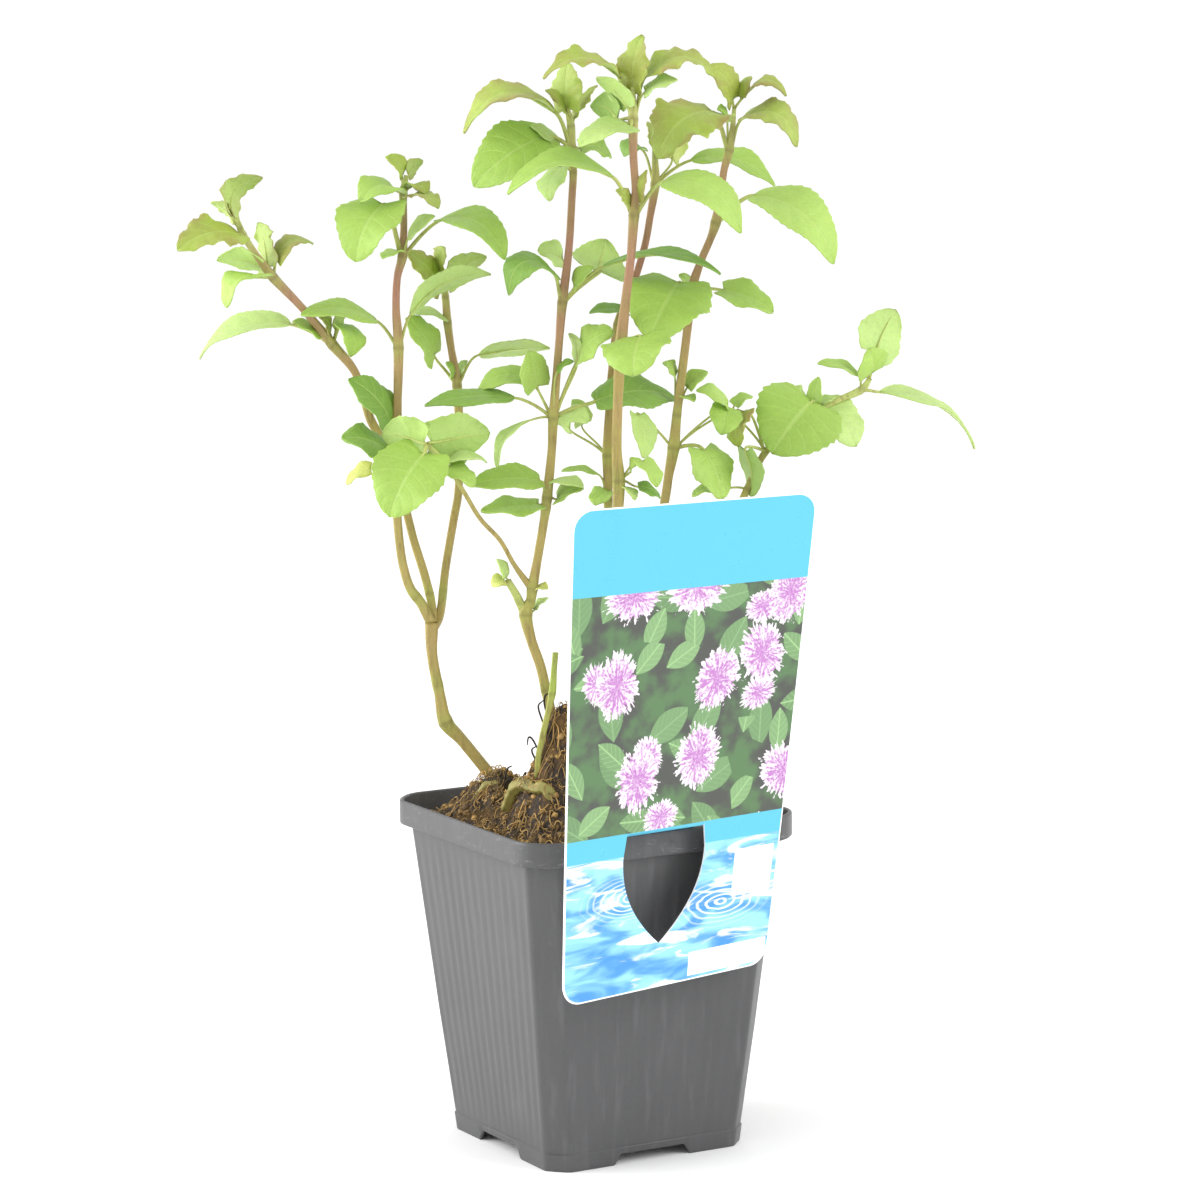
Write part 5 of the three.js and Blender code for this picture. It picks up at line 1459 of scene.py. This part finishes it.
def pot_rings(look):
    """The pot's profile as rings, from the middle of the floor's underside, down the
    inside of the foot, up the outside, over the rim and down to the floor's middle."""
    corner, edge, lip = look.corner, look.edge, WALL / 2
    inner = BASE_WIDTH - 2 * WALL
    rings = []

    def level(width, z, radius=corner):
        rings.append(pot_ring(width, z, radius, look))

    def foot(width, z):
        rings.append(notched(pot_ring(width, z, corner, look), z))

    for share in FLOOR_SHARES:
        level(inner * share, FLOOR_UNDERSIDE, corner * share)
    level(inner, FLOOR_UNDERSIDE)
    for z in INNER_FOOT_ROWS:
        foot(inner, z)
    foot(inner + FOOT_EDGE, 0.0)
    foot(BASE_WIDTH - FOOT_EDGE, 0.0)
    for z in FOOT_ROWS:
        foot(wall_width(z), z)
    level(wall_width(STEP_BOTTOM), STEP_BOTTOM)
    level(wall_width(STEP_TOP) - 2 * look.foot_step, STEP_TOP)
    growth, fading = FLUTE_GROWTH
    for z in np.linspace(FLUTE_BOTTOM, FLUTE_TOP, 18):
        step = 2 * look.foot_step * max(0.0, 1 - (z - STEP_TOP) / STEP_FADE)
        share = min(1.0, (z - FLUTE_BOTTOM) / growth, (FLUTE_TOP - z) / fading)
        rings.append(fluted(pot_ring(wall_width(z) - step, z, corner, look), share, look))
    level(wall_width(SHOULDER - 1.0), SHOULDER - 1.0)
    level(SHOULDER_WIDTH, SHOULDER - 0.25)
    level(SHOULDER_WIDTH + 0.5, SHOULDER)
    for turn in np.linspace(0, math.pi / 2, 4):
        width = RIM_WIDTH - 2 * edge * (1 - math.sin(turn))
        level(width, SHOULDER + edge * (1 - math.cos(turn)), look.rim_corner)
    for z in np.linspace(SHOULDER + RIM_INSET, POT_HEIGHT - RIM_INSET, 7):
        rings.append(lugged(pot_ring(RIM_WIDTH, z, look.rim_corner, look), z))
    for turn in np.linspace(0, math.pi, 7):
        inward = lip * (1 - math.cos(turn))
        z = POT_HEIGHT - lip * (1 - math.sin(turn))
        level(RIM_WIDTH - 2 * inward, z, look.rim_corner - inward)
    band = RIM_WIDTH - 2 * WALL
    level(band, SHOULDER + WALL + 1, look.rim_corner - WALL)
    level(band - LEDGE_LIP, SHOULDER + WALL + 0.1, look.rim_corner - WALL)
    level(wall_width(SHOULDER) - 2 * WALL + LEDGE_LIP, SHOULDER + WALL)
    for z in np.linspace(SHOULDER - 0.5, FLOOR + 0.8, 9):
        level(wall_width(z) - 2 * WALL, z)
    level(wall_width(FLOOR) - 2 * WALL - 0.6, FLOOR)
    for share in reversed(FLOOR_SHARES):
        level(inner * share, FLOOR, corner * share)
    return np.array(rings)


def lugged(ring, z):
    """A ring with small moulded marks on the front of the rim band that catch the light:
    bells of the distance from each one's middle, pressed inwards."""
    moved = ring.copy()
    front = ring[:, 1] < -0.49 * RIM_WIDTH
    for x, height, reach_x, reach_z, depth in RIM_LUGS:
        mark = bell(ring[:, 0] - x, reach_x) * bell(z - height, reach_z)
        moved[:, 1] += np.where(front, depth * mark, 0.0)
    return moved


def build_pot(material, look):
    """The pot's lofted shell with its drainage holes cut through the floor."""
    surface = Surface()
    surface.loft(pot_rings(look))
    pot = place_surface("nursery_pot", surface, material, "pot_plastic", "pot")
    cutters = Surface()
    angles = round_circle(DRAIN_SIDES)
    circle = np.stack([np.cos(angles), np.sin(angles), 0 * angles], axis=-1) * DRAIN_RADIUS
    for x, y in DRAIN_PLACES:
        cutters.loft(np.array([circle + (x, y, z) for z in (2.0, 7.0)]))
    cutter = into_scene("drain_cutter", make_mesh("drain_cutter", cutters))
    cut = pot.modifiers.new("drains", "BOOLEAN")
    cut.operation, cut.solver, cut.object = "DIFFERENCE", "EXACT", cutter
    apply_modifiers(pot)
    bpy.data.objects.remove(cutter)
    pot.data.set_sharp_from_angle(angle=SHARP_ANGLE)


def apply_modifiers(piece):
    """Puts a piece's modifiers into its mesh."""
    graph = bpy.context.evaluated_depsgraph_get()
    mesh = bpy.data.meshes.new_from_object(piece.evaluated_get(graph))
    old = piece.data
    piece.modifiers.clear()
    piece.data = mesh
    mesh.name = piece.name
    bpy.data.meshes.remove(old)


# ---- Soil ----


def soil_reach(angle, width):
    """How far the soil reaches from the middle at an angle, inside a wall of a width: to
    the flat side or to the cut corner, whichever is nearer."""
    half = width / 2 - WALL - SOIL_GAP
    c, s = np.abs(np.cos(angle)), np.abs(np.sin(angle))
    return np.minimum(half / np.maximum(c, s), (2 * half - width * CORNER_SHARE) / (c + s))


def soil_share(x, y):
    """How far out a place lies, from 0 in the middle to 1 at the wall."""
    return np.hypot(x, y) / soil_reach(np.arctan2(y, x), wall_width(SOIL_EDGE))


def soil_height(x, y):
    """Height of the peat: a low crown, coarse waves, and bells for the heaps and nests."""
    outward = np.clip(soil_share(x, y), 0, 1)
    place = turned(np.stack([x, y, np.zeros_like(x)], axis=-1), -SPREAD_TURN)
    waves = 0.9 * np.sin(0.53 * x + 1.1) * np.cos(0.47 * y) + 0.5 * np.sin(0.9 * (x + y))
    rise = SOIL_CROWN * (1 - outward**2) + waves * (1 - outward**4)
    for across, away, height, radius in HEAPS + NESTS:
        off = np.hypot(place[..., 0] - across, place[..., 1] - away)
        rise = rise + height * bell(off, radius)
    return SOIL_EDGE + rise


GRAINS = [(7.5, 0.5), (3.4, 0.32), (1.7, 0.18)]  # size in mm and share of each ripple
SOIL_SIDES, SOIL_RINGS = 300, 96
MOSS_PLACE, MOSS_REACH = (-20, 4), 9  # where the green bloom is, across and away


def granular(x, y, rng):
    """Grain of the peat about 0: three sizes of ripple, folded so that lumps are round
    and the gaps between them sharp."""
    return sum(share * (1 - np.abs(ripple(x, y, size, rng))) for size, share in GRAINS) - 0.35


def peat_surface(look, rng):
    """The body of peat as level rings: up the wall and in over the top to the middle. The
    top is the soil's height plus its grain, flat at the wall."""
    angle = round_circle(SOIL_SIDES)
    wall_rows = np.array([FLOOR + SOIL_GAP, 30.0, 60.0, SOIL_EDGE - 1.5])[:, None]
    reach = soil_reach(angle, wall_width(wall_rows))
    height = np.broadcast_to(wall_rows, reach.shape)
    sides = np.stack([reach * np.cos(angle), reach * np.sin(angle), height], axis=-1)
    outward = np.linspace(1, 0.012, SOIL_RINGS)[:, None]
    reach = soil_reach(angle, wall_width(SOIL_EDGE)) * outward
    x, y = reach * np.cos(angle), reach * np.sin(angle)
    relief = look.grain * granular(x, y, rng) * np.clip((1 - outward) * 14, 0, 1)
    top = np.stack([x, y, soil_height(x, y) + relief], axis=-1)
    rings = np.concatenate([sides, top])
    off = turned(rings, -SPREAD_TURN)[..., :2] - MOSS_PLACE
    surface = Surface("moss")
    surface.loft(rings, moss=0.6 * bell(np.hypot(off[..., 0], off[..., 1]), MOSS_REACH))
    return surface


def bundle(surface, paths, radius, corners, **values):
    """Many like bars at once: each path gets rings of a few corners round it, the side taken from
    one fixed direction made square to the path, so that no bar twists."""
    tangents = unit(np.gradient(paths, axis=1))
    sides = square_to(np.array([0.31, 0.52, 0.79]), tangents)
    other = np.cross(tangents, sides)
    angles = round_circle(corners)
    taper = np.sin(np.linspace(0.25, math.pi - 0.25, paths.shape[1])) ** 0.5
    reach = radius[:, None, None, None] * taper[None, :, None, None]
    rings = paths[:, :, None, :] + reach * (
        np.cos(angles)[None, None, :, None] * sides[:, :, None, :]
        + np.sin(angles)[None, None, :, None] * other[:, :, None, :]
    )
    for i, one in enumerate(rings):
        surface.loft(one, **{name: value[i] for name, value in values.items()})


def random_places(count, limit, rng):
    """Places spread evenly over the soil, out to a share of the way to the wall."""
    angle = rng.uniform(0, 2 * math.pi, count)
    share = limit * np.sqrt(rng.uniform(0, 1, count))
    reach = soil_reach(angle, wall_width(SOIL_EDGE)) * share
    return reach * np.cos(angle), reach * np.sin(angle)


RUNNERS = ("runner_near", "runner_far")
RUNNER_REACH = 1.95  # from a runner's middle to the fibres over it, in mm
HUMP_REACH = 2.6  # half width of the hump over a runner, at its middle's height
BESIDE = 3.4  # a fibre is beside a runner when no point of it is further off


def runner_height(x, y):
    """Height of a hump over the runners for fibres that lie wholly beside them, and 0
    for the others: the nearest point of the route, plus a rise less the square of the
    distance from it."""
    top = np.zeros_like(x)
    for name in RUNNERS:
        route = np.array(SHOOTS[name][0][0], float)
        places = np.linspace(0, len(route) - 1, ROUTE_SAMPLES)
        path = in_pot(smooth_route(route[:, :3], places)[0])
        off = np.hypot(x[..., None] - path[:, 0], y[..., None] - path[:, 1])
        nearest, off = off.argmin(axis=-1), off.min(axis=-1)
        hump = path[nearest, 2] + RUNNER_REACH * (1 - (off / HUMP_REACH) ** 2)
        beside = (off < BESIDE).all(axis=-1, keepdims=True)
        top = np.where(beside, np.maximum(top, hump), top)
    return top


FIBRE_POINTS, THREAD_POINTS = 9, 14
FIBRE_EDGE = 0.96  # how far out fibres reach, by the way to the wall
FIBRE_LIFT = 0.35  # from the peat to a fibre's middle, in mm
THREAD_RADIUS = 0.3


def fibre_surface(look, rng):
    """Curly fibres lying on the peat. A fibre's heading turns along it by a random bend
    and a sine, and it arches off the soil between its ends."""
    count = look.fibres
    x, y = random_places(count, 0.97, rng)
    t = np.linspace(0, 1, FIBRE_POINTS)
    length = rng.uniform(1.5, 6.5, (count, 1))
    heading = rng.uniform(0, 2 * math.pi, (count, 1))
    heading = heading + rng.normal(0, 2.2, (count, 1)) * t
    curl = rng.uniform(0.2, 1.2, (count, 1))
    heading = heading + curl * np.sin(7 * t + rng.uniform(0, 6, (count, 1)))
    px = x[:, None] + np.cumsum(np.cos(heading), axis=1) * length / FIBRE_POINTS
    py = y[:, None] + np.cumsum(np.sin(heading), axis=1) * length / FIBRE_POINTS
    outward = soil_share(px, py)
    pull = np.where(outward > FIBRE_EDGE, FIBRE_EDGE / outward, 1.0)
    px, py = px * pull, py * pull
    arch = rng.uniform(0.1, 1.8, (count, 1)) * np.sin(math.pi * t) ** 0.8
    tilt = rng.normal(0, 0.5, (count, 1)) * (t - 0.5)
    pz = soil_height(px, py) + FIBRE_LIFT + arch + tilt
    pz = np.maximum(pz, runner_height(px, py) + 0.1 + 0.4 * arch)
    surface = Surface("age", "dull")
    paths = np.stack([px, py, pz], axis=-1)
    bundle(surface, paths, rng.uniform(0.08, 0.22, count), 3,
           age=rng.uniform(0, 1, count) ** 2, dull=rng.uniform(0, 1, count) ** 1.4)
    for route in THREADS:
        path = in_pot(smooth_route(route, np.linspace(0, len(route) - 1, THREAD_POINTS))[0])
        bundle(surface, path[None], np.array([THREAD_RADIUS]), 5, age=[1.0], dull=[0.0])
    return surface


def crumb_surface(look, rng):
    """Loose crumbs: small lumps of four rings of six points, each point moved in or out
    at random, a little sunk in the peat and as thick all over it."""
    count = look.crumbs
    x, y = random_places(count, 0.94, rng)
    size = rng.uniform(0.35, 1.25, count) ** 1.4
    polar = np.array([0.35, 1.1, 1.9, 2.7])[:, None]
    angles = round_circle(6)
    level = [np.sin(polar) * np.cos(angles), np.sin(polar) * np.sin(angles)]
    ball = np.stack([*level, np.broadcast_to(np.cos(polar), (4, 6))], axis=-1)
    bumps = rng.uniform(0.65, 1.3, (count, 4, 6, 1))
    flat = rng.uniform(0.6, 1.1, (count, 1, 1, 1)) * UP + (1.0, 1.0, 0.0)
    z = soil_height(x, y) + 0.25 * size
    middle = np.stack([x, y, z], axis=-1)[:, None, None, :]
    lumps = middle + ball * bumps * flat * size[:, None, None, None]
    surface = Surface("age", "dull")
    for lump, age, dull in zip(lumps, rng.uniform(0.35, 1, count), rng.uniform(0, 1, count)):
        surface.loft(lump, age=age, dull=dull)
    return surface


# ---- Label ----

# Heights on the card, from its bottom edge.
HEADER_BOTTOM, PICTURE_BOTTOM, STRIP_BOTTOM = 112.5, 45.4, 39.0
BARE_PATCHES = [(61.5, 76.0, 22.0, 35.5), (47.0, 76.9, 1.2, 8.0)]  # left, right, bottom, top
SHIELD_POWER = 2.25  # how full the tongue's shield is
TURN_ROWS, WINDOW_ROWS, LOWER_ROWS, UPPER_ROWS = 9, 30, 5, 24
STRIP_COLUMNS, TONGUE_COLUMNS, TONGUE_ROWS = 13, 15, 36
NO_BORDER = 9.0  # the tongue's distance from the card's white border
WELD_REACH = 0.02  # how near points of two patches are one, in mm


def on_label(across, height):
    """A place on the card: its middle line leans and it twists about that line."""
    t = (height - LABEL_BOTTOM) / (LABEL_TOP - LABEL_BOTTOM)
    twist = np.radians(LABEL_FOOT_TWIST + (LABEL_HEAD_TWIST - LABEL_FOOT_TWIST) * t)
    x = LABEL_FOOT_X + (LABEL_HEAD_X - LABEL_FOOT_X) * t
    y = LABEL_FOOT_Y + (LABEL_HEAD_Y - LABEL_FOOT_Y) * t
    return np.stack([x + across * np.cos(twist), y + across * np.sin(twist), height], axis=-1)


def tongue_half(run):
    """The tongue's half width at a distance from the fold: straight sides that widen to
    a shoulder, then a shield that ends in a point."""
    straight = WINDOW_WIDTH + (WINDOW_SHOULDER - WINDOW_WIDTH) * run / WINDOW_DROP
    share = np.clip((run - WINDOW_DROP) / (WINDOW_LENGTH - WINDOW_DROP), 0, 1)
    shield = WINDOW_SHOULDER * (1 - share**SHIELD_POWER)
    return np.where(run < WINDOW_DROP, straight, shield) / 2


def card_half(height):
    """The card's half width at a height: full, drawn in round its corners."""
    inset = np.minimum(height - LABEL_BOTTOM, LABEL_TOP - height)
    short = np.clip(LABEL_CORNER - inset, 0, LABEL_CORNER)
    return LABEL_WIDTH / 2 - LABEL_CORNER + np.sqrt(np.maximum(LABEL_CORNER**2 - short**2, 0))


def card_rows():
    """Heights of the card's rows: close at the corners and round the window's tip."""
    turn = LABEL_CORNER * (1 - np.cos(np.linspace(0, math.pi / 2, TURN_ROWS)))
    tip = WINDOW_TOP - WINDOW_LENGTH
    window = WINDOW_TOP - WINDOW_LENGTH * np.sin(np.linspace(0, math.pi / 2, WINDOW_ROWS))
    shoulder = [WINDOW_TOP - WINDOW_DROP]
    lower = np.linspace(LABEL_BOTTOM + LABEL_CORNER, tip, LOWER_ROWS)
    upper = np.linspace(WINDOW_TOP, LABEL_TOP - LABEL_CORNER, UPPER_ROWS)
    rows = np.concatenate([LABEL_BOTTOM + turn, lower, window, shoulder, upper, LABEL_TOP - turn])
    return np.unique(np.round(rows, 4))


def card_uv(across, height):
    """UV of a place on the card, 0 to 1 across and up."""
    up = (height - LABEL_BOTTOM) / (LABEL_TOP - LABEL_BOTTOM)
    return np.stack([across / LABEL_WIDTH + 0.5, up], axis=-1)


def sheet_mesh(name, patches):
    """A mesh of open patches of (points, uv, edge), each a grid."""
    surface = Surface("edge")
    surface.tris.append(np.zeros((0, 3), int))
    for grid, uv, edge in patches:
        rows, columns, _ = grid.shape
        i, j = np.meshgrid(np.arange(rows - 1), np.arange(columns - 1), indexing="ij")
        corner = surface.count + i * columns + j
        quads = np.stack([corner, corner + 1, corner + columns + 1, corner + columns], axis=-1)
        surface.quads.append(quads.reshape(-1, 4))
        surface.points.append(grid.reshape(-1, 3))
        surface.uvs.append(uv.reshape(-1, 2))
        surface.values["edge"].append(edge.ravel())
        surface.count += rows * columns
    return make_mesh(name, surface)


def edge_distance(across, height):
    """Distance from the card's outer edge, rounded at its corners."""
    x = LABEL_WIDTH / 2 - np.abs(across)
    y = np.minimum(height - LABEL_BOTTOM, LABEL_TOP - height)
    in_corner = (x < LABEL_CORNER) & (y < LABEL_CORNER)
    round_off = LABEL_CORNER - np.hypot(LABEL_CORNER - x, LABEL_CORNER - y)
    return np.where(in_corner, round_off, np.minimum(x, y))


def card_patch(across, heights):
    """A patch of the card: its places, their UV and their distance from the edge."""
    rows = np.broadcast_to(heights[:, None], across.shape)
    return on_label(across, rows), card_uv(across, rows), edge_distance(across, rows)


def tongue_patch():
    """The tongue as a strip: from the window's top edge over the rim and down inside."""
    shares = np.linspace(-1, 1, TONGUE_COLUMNS)
    top = np.full(TONGUE_COLUMNS, WINDOW_TOP)
    fold = on_label(WINDOW_MIDDLE + shares * tongue_half(np.array(0.0)), top)
    centre = on_label(np.array(WINDOW_MIDDLE), np.array(WINDOW_TOP))
    route = [(0.0, centre[1], centre[2]), *TONGUE_ROUTE]
    line, _ = smooth_route(route, np.linspace(0, len(route) - 1, TONGUE_ROWS))
    run, away, up = (line[:, k : k + 1] for k in range(3))
    across = shares * tongue_half(np.clip(run, 0, WINDOW_LENGTH))
    slant = np.clip(1 - run / TONGUE_ROUTE[1][0], 0, 1) * (fold[:, 1] - centre[1])
    up, down = np.broadcast_to(up, across.shape), np.broadcast_to(run, across.shape)
    grid = np.stack([centre[0] + across, away + slant, up], axis=-1)
    grid[0] = fold
    uv = card_uv(WINDOW_MIDDLE + across, WINDOW_TOP - down)
    return grid[::-1], uv[::-1], np.full(across.shape, NO_BORDER)


def build_label(materials, look):
    """The card in strips beside and above the window, with the tongue, given its
    thickness by Solidify. The printed face looks away from the pot."""
    heights = card_rows()
    half = card_half(heights)
    run = WINDOW_TOP - heights
    beside = tongue_half(np.clip(run, 0, WINDOW_LENGTH))
    opening = np.where((run >= 0) & (run < WINDOW_LENGTH), beside, 0.0)
    opening = np.where(run < 0, WINDOW_WIDTH / 2, opening)
    share = np.linspace(0, 1, STRIP_COLUMNS)
    patches = []
    for low, high in ((-half, WINDOW_MIDDLE - opening), (WINDOW_MIDDLE + opening, half)):
        patches.append(card_patch(low[:, None] + (high - low)[:, None] * share, heights))
    above = heights[run <= 0]
    span = np.linspace(-1, 1, TONGUE_COLUMNS) * np.full((len(above), 1), WINDOW_WIDTH / 2)
    patches += [card_patch(WINDOW_MIDDLE + span, above), tongue_patch()]
    mesh = sheet_mesh("plant_label", patches)
    piece = place_piece("plant_label", mesh, materials, "label_card", "label")
    weld = piece.modifiers.new("weld", "WELD")
    weld.merge_threshold = WELD_REACH * MM
    body = piece.modifiers.new("thickness", "SOLIDIFY")
    body.thickness, body.offset = look.thickness * MM, 0.0
    body.material_offset, body.material_offset_rim = 1, 1
    apply_modifiers(piece)
    piece.data.set_sharp_from_angle(angle=SHARP_ANGLE)


# ---- Stage ----


FLOOR_REACH = 40.0  # from the middle of the floor to its edges, in metres
# Each light: name, place and size in metres, and the setting that holds its power.
LIGHTS = [
    ("fill_light", (0.85, -1.15, 0.8), 0.8, "fill"),
    ("back_light", (-1.15, 0.55, 0.5), 1.2, "back"),
]
LIGHT_AIM = (0.0, 0.0, 0.16)
CAMERA_LENS, SENSOR_WIDTH = 135.0, 36.0
VIEW_END = 200.0  # how far the camera sees, in metres
CAMERA_AIM = (2.36, 158.68)  # the point looked at: to the camera's right, and up, in mm


def build_floor(look):
    """A wide level floor."""
    signs = ((-1, -1), (1, -1), (1, 1), (-1, 1))
    corners = [(x * FLOOR_REACH, y * FLOOR_REACH, 0) for x, y in signs]
    mesh = bpy.data.meshes.new("studio_floor")
    mesh.from_pydata(corners, [], [(0, 1, 2, 3)])
    mesh.materials.append(floor_material(look))
    into_scene("studio_floor", mesh)


def soft_light(name, place, size, power):
    """A square soft light, turned towards the plant."""
    data = bpy.data.lights.new(name, "AREA")
    data.size, data.energy = size, power
    light = into_scene(name, data)
    light.location = place
    towards = Vector(LIGHT_AIM) - Vector(place)
    light.rotation_euler = towards.to_track_quat("-Z", "Y").to_euler()


def build_camera(look):
    """A camera that looks at the plant's middle from the azimuth and elevation. Its right
    and up axes are turned about the view by the roll."""
    right = Vector((math.cos(look.azimuth), math.sin(look.azimuth), 0.0))
    level = Vector((right.y, -right.x, 0.0))
    back = level * math.cos(look.elevation) + Vector((0, 0, math.sin(look.elevation)))
    up = back.cross(right)
    rolled_right = right * math.cos(look.roll) + up * math.sin(look.roll)
    rolled_up = up * math.cos(look.roll) - right * math.sin(look.roll)
    aim = (right * CAMERA_AIM[0] + Vector((0, 0, CAMERA_AIM[1]))) * MM
    data = bpy.data.cameras.new("studio_camera")
    data.lens, data.sensor_width, data.clip_end = CAMERA_LENS, SENSOR_WIDTH, VIEW_END
    camera = into_scene("studio_camera", data)
    turn = Matrix((rolled_right, rolled_up, back)).transposed().to_4x4()
    camera.matrix_world = Matrix.Translation(aim + back * look.distance * MM) @ turn
    bpy.context.scene.camera = camera


# ---- Operators ----


class MINT_OT_pot(bpy.types.Operator):
    """Make the nursery pot"""

    bl_idname = "mint.pot"
    bl_label = "Pot"

    def execute(self, context):
        look = context.scene.mint_pot
        build_pot(plastic_material(look), look)
        return {"FINISHED"}


class MINT_OT_soil(bpy.types.Operator):
    """Make the peat with its fibres, threads and crumbs"""

    bl_idname = "mint.soil"
    bl_label = "Soil"

    def execute(self, context):
        look = context.scene.mint_soil
        rng = np.random.default_rng(SEED)
        peat, fibre = peat_material(look), fibre_material(look)
        for name, shape, material in (
            ("peat_bed", peat_surface, peat), ("peat_fibres", fibre_surface, fibre),
            ("peat_crumbs", crumb_surface, fibre),
        ):
            place_surface(name, shape(look, rng), material, "peat", "soil")
        return {"FINISHED"}


class MINT_OT_label(bpy.types.Operator):
    """Make the plant label"""

    bl_idname = "mint.label"
    bl_label = "Plant label"

    def execute(self, context):
        look = context.scene.mint_label
        build_label([label_material(look), card_material(look)], look)
        return {"FINISHED"}


class MINT_OT_shoots(bpy.types.Operator):
    """Make the leafy shoots, the cut stem and the runners"""

    bl_idname = "mint.shoots"
    bl_label = "Shoots"

    def execute(self, context):
        leaf_look, stem_look = context.scene.mint_leaf, context.scene.mint_stem
        rng = np.random.default_rng(SEED + 1)
        leaf, stem = leaf_material(leaf_look), stem_material(stem_look)
        for name in SHOOTS:
            build_shoot(name, leaf, stem, leaf_look, stem_look, rng)
        return {"FINISHED"}


class MINT_OT_stage(bpy.types.Operator):
    """Make the floor, the light and the camera"""

    bl_idname = "mint.stage"
    bl_label = "Stage"

    def execute(self, context):
        look = context.scene.mint_stage
        build_floor(look)
        world = bpy.data.worlds.new("studio")
        world.use_nodes = True
        background = world.node_tree.nodes["Background"]
        background.inputs["Color"].default_value = (1.0, 1.0, 1.0, 1.0)
        background.inputs["Strength"].default_value = look.sky
        context.scene.world = world
        for name, place, size, power in LIGHTS:
            soft_light(name, place, size, getattr(look, power))
        build_camera(look)
        context.scene.view_settings.view_transform = "Standard"
        return {"FINISHED"}


OPERATORS = [MINT_OT_pot, MINT_OT_soil, MINT_OT_label, MINT_OT_shoots, MINT_OT_stage]


class MINT_PT_panel(bpy.types.Panel):
    """Lists the plant's pieces and the stage."""

    bl_idname = "MINT_PT_panel"
    bl_label = "Potted mint"
    bl_space_type = "VIEW_3D"
    bl_region_type = "UI"
    bl_category = "Mint"

    def draw(self, context):
        for operator in OPERATORS:
            self.layout.operator(operator.bl_idname)


CLASSES = [*SETTINGS.values(), *OPERATORS, MINT_PT_panel]


def register():
    """Registers the classes and hangs the settings on the scene."""
    for one in CLASSES:
        bpy.utils.register_class(one)
    for name, group in SETTINGS.items():
        setattr(bpy.types.Scene, name, bpy.props.PointerProperty(type=group))


def unregister():
    """Takes the settings and the classes away again."""
    for name in SETTINGS:
        delattr(bpy.types.Scene, name)
    for one in reversed(CLASSES):
        bpy.utils.unregister_class(one)


def main():
    register()
    bpy.ops.mint.pot()
    bpy.ops.mint.soil()
    bpy.ops.mint.label()
    bpy.ops.mint.shoots()
    bpy.ops.mint.stage()


if __name__ == "__main__":
    main()
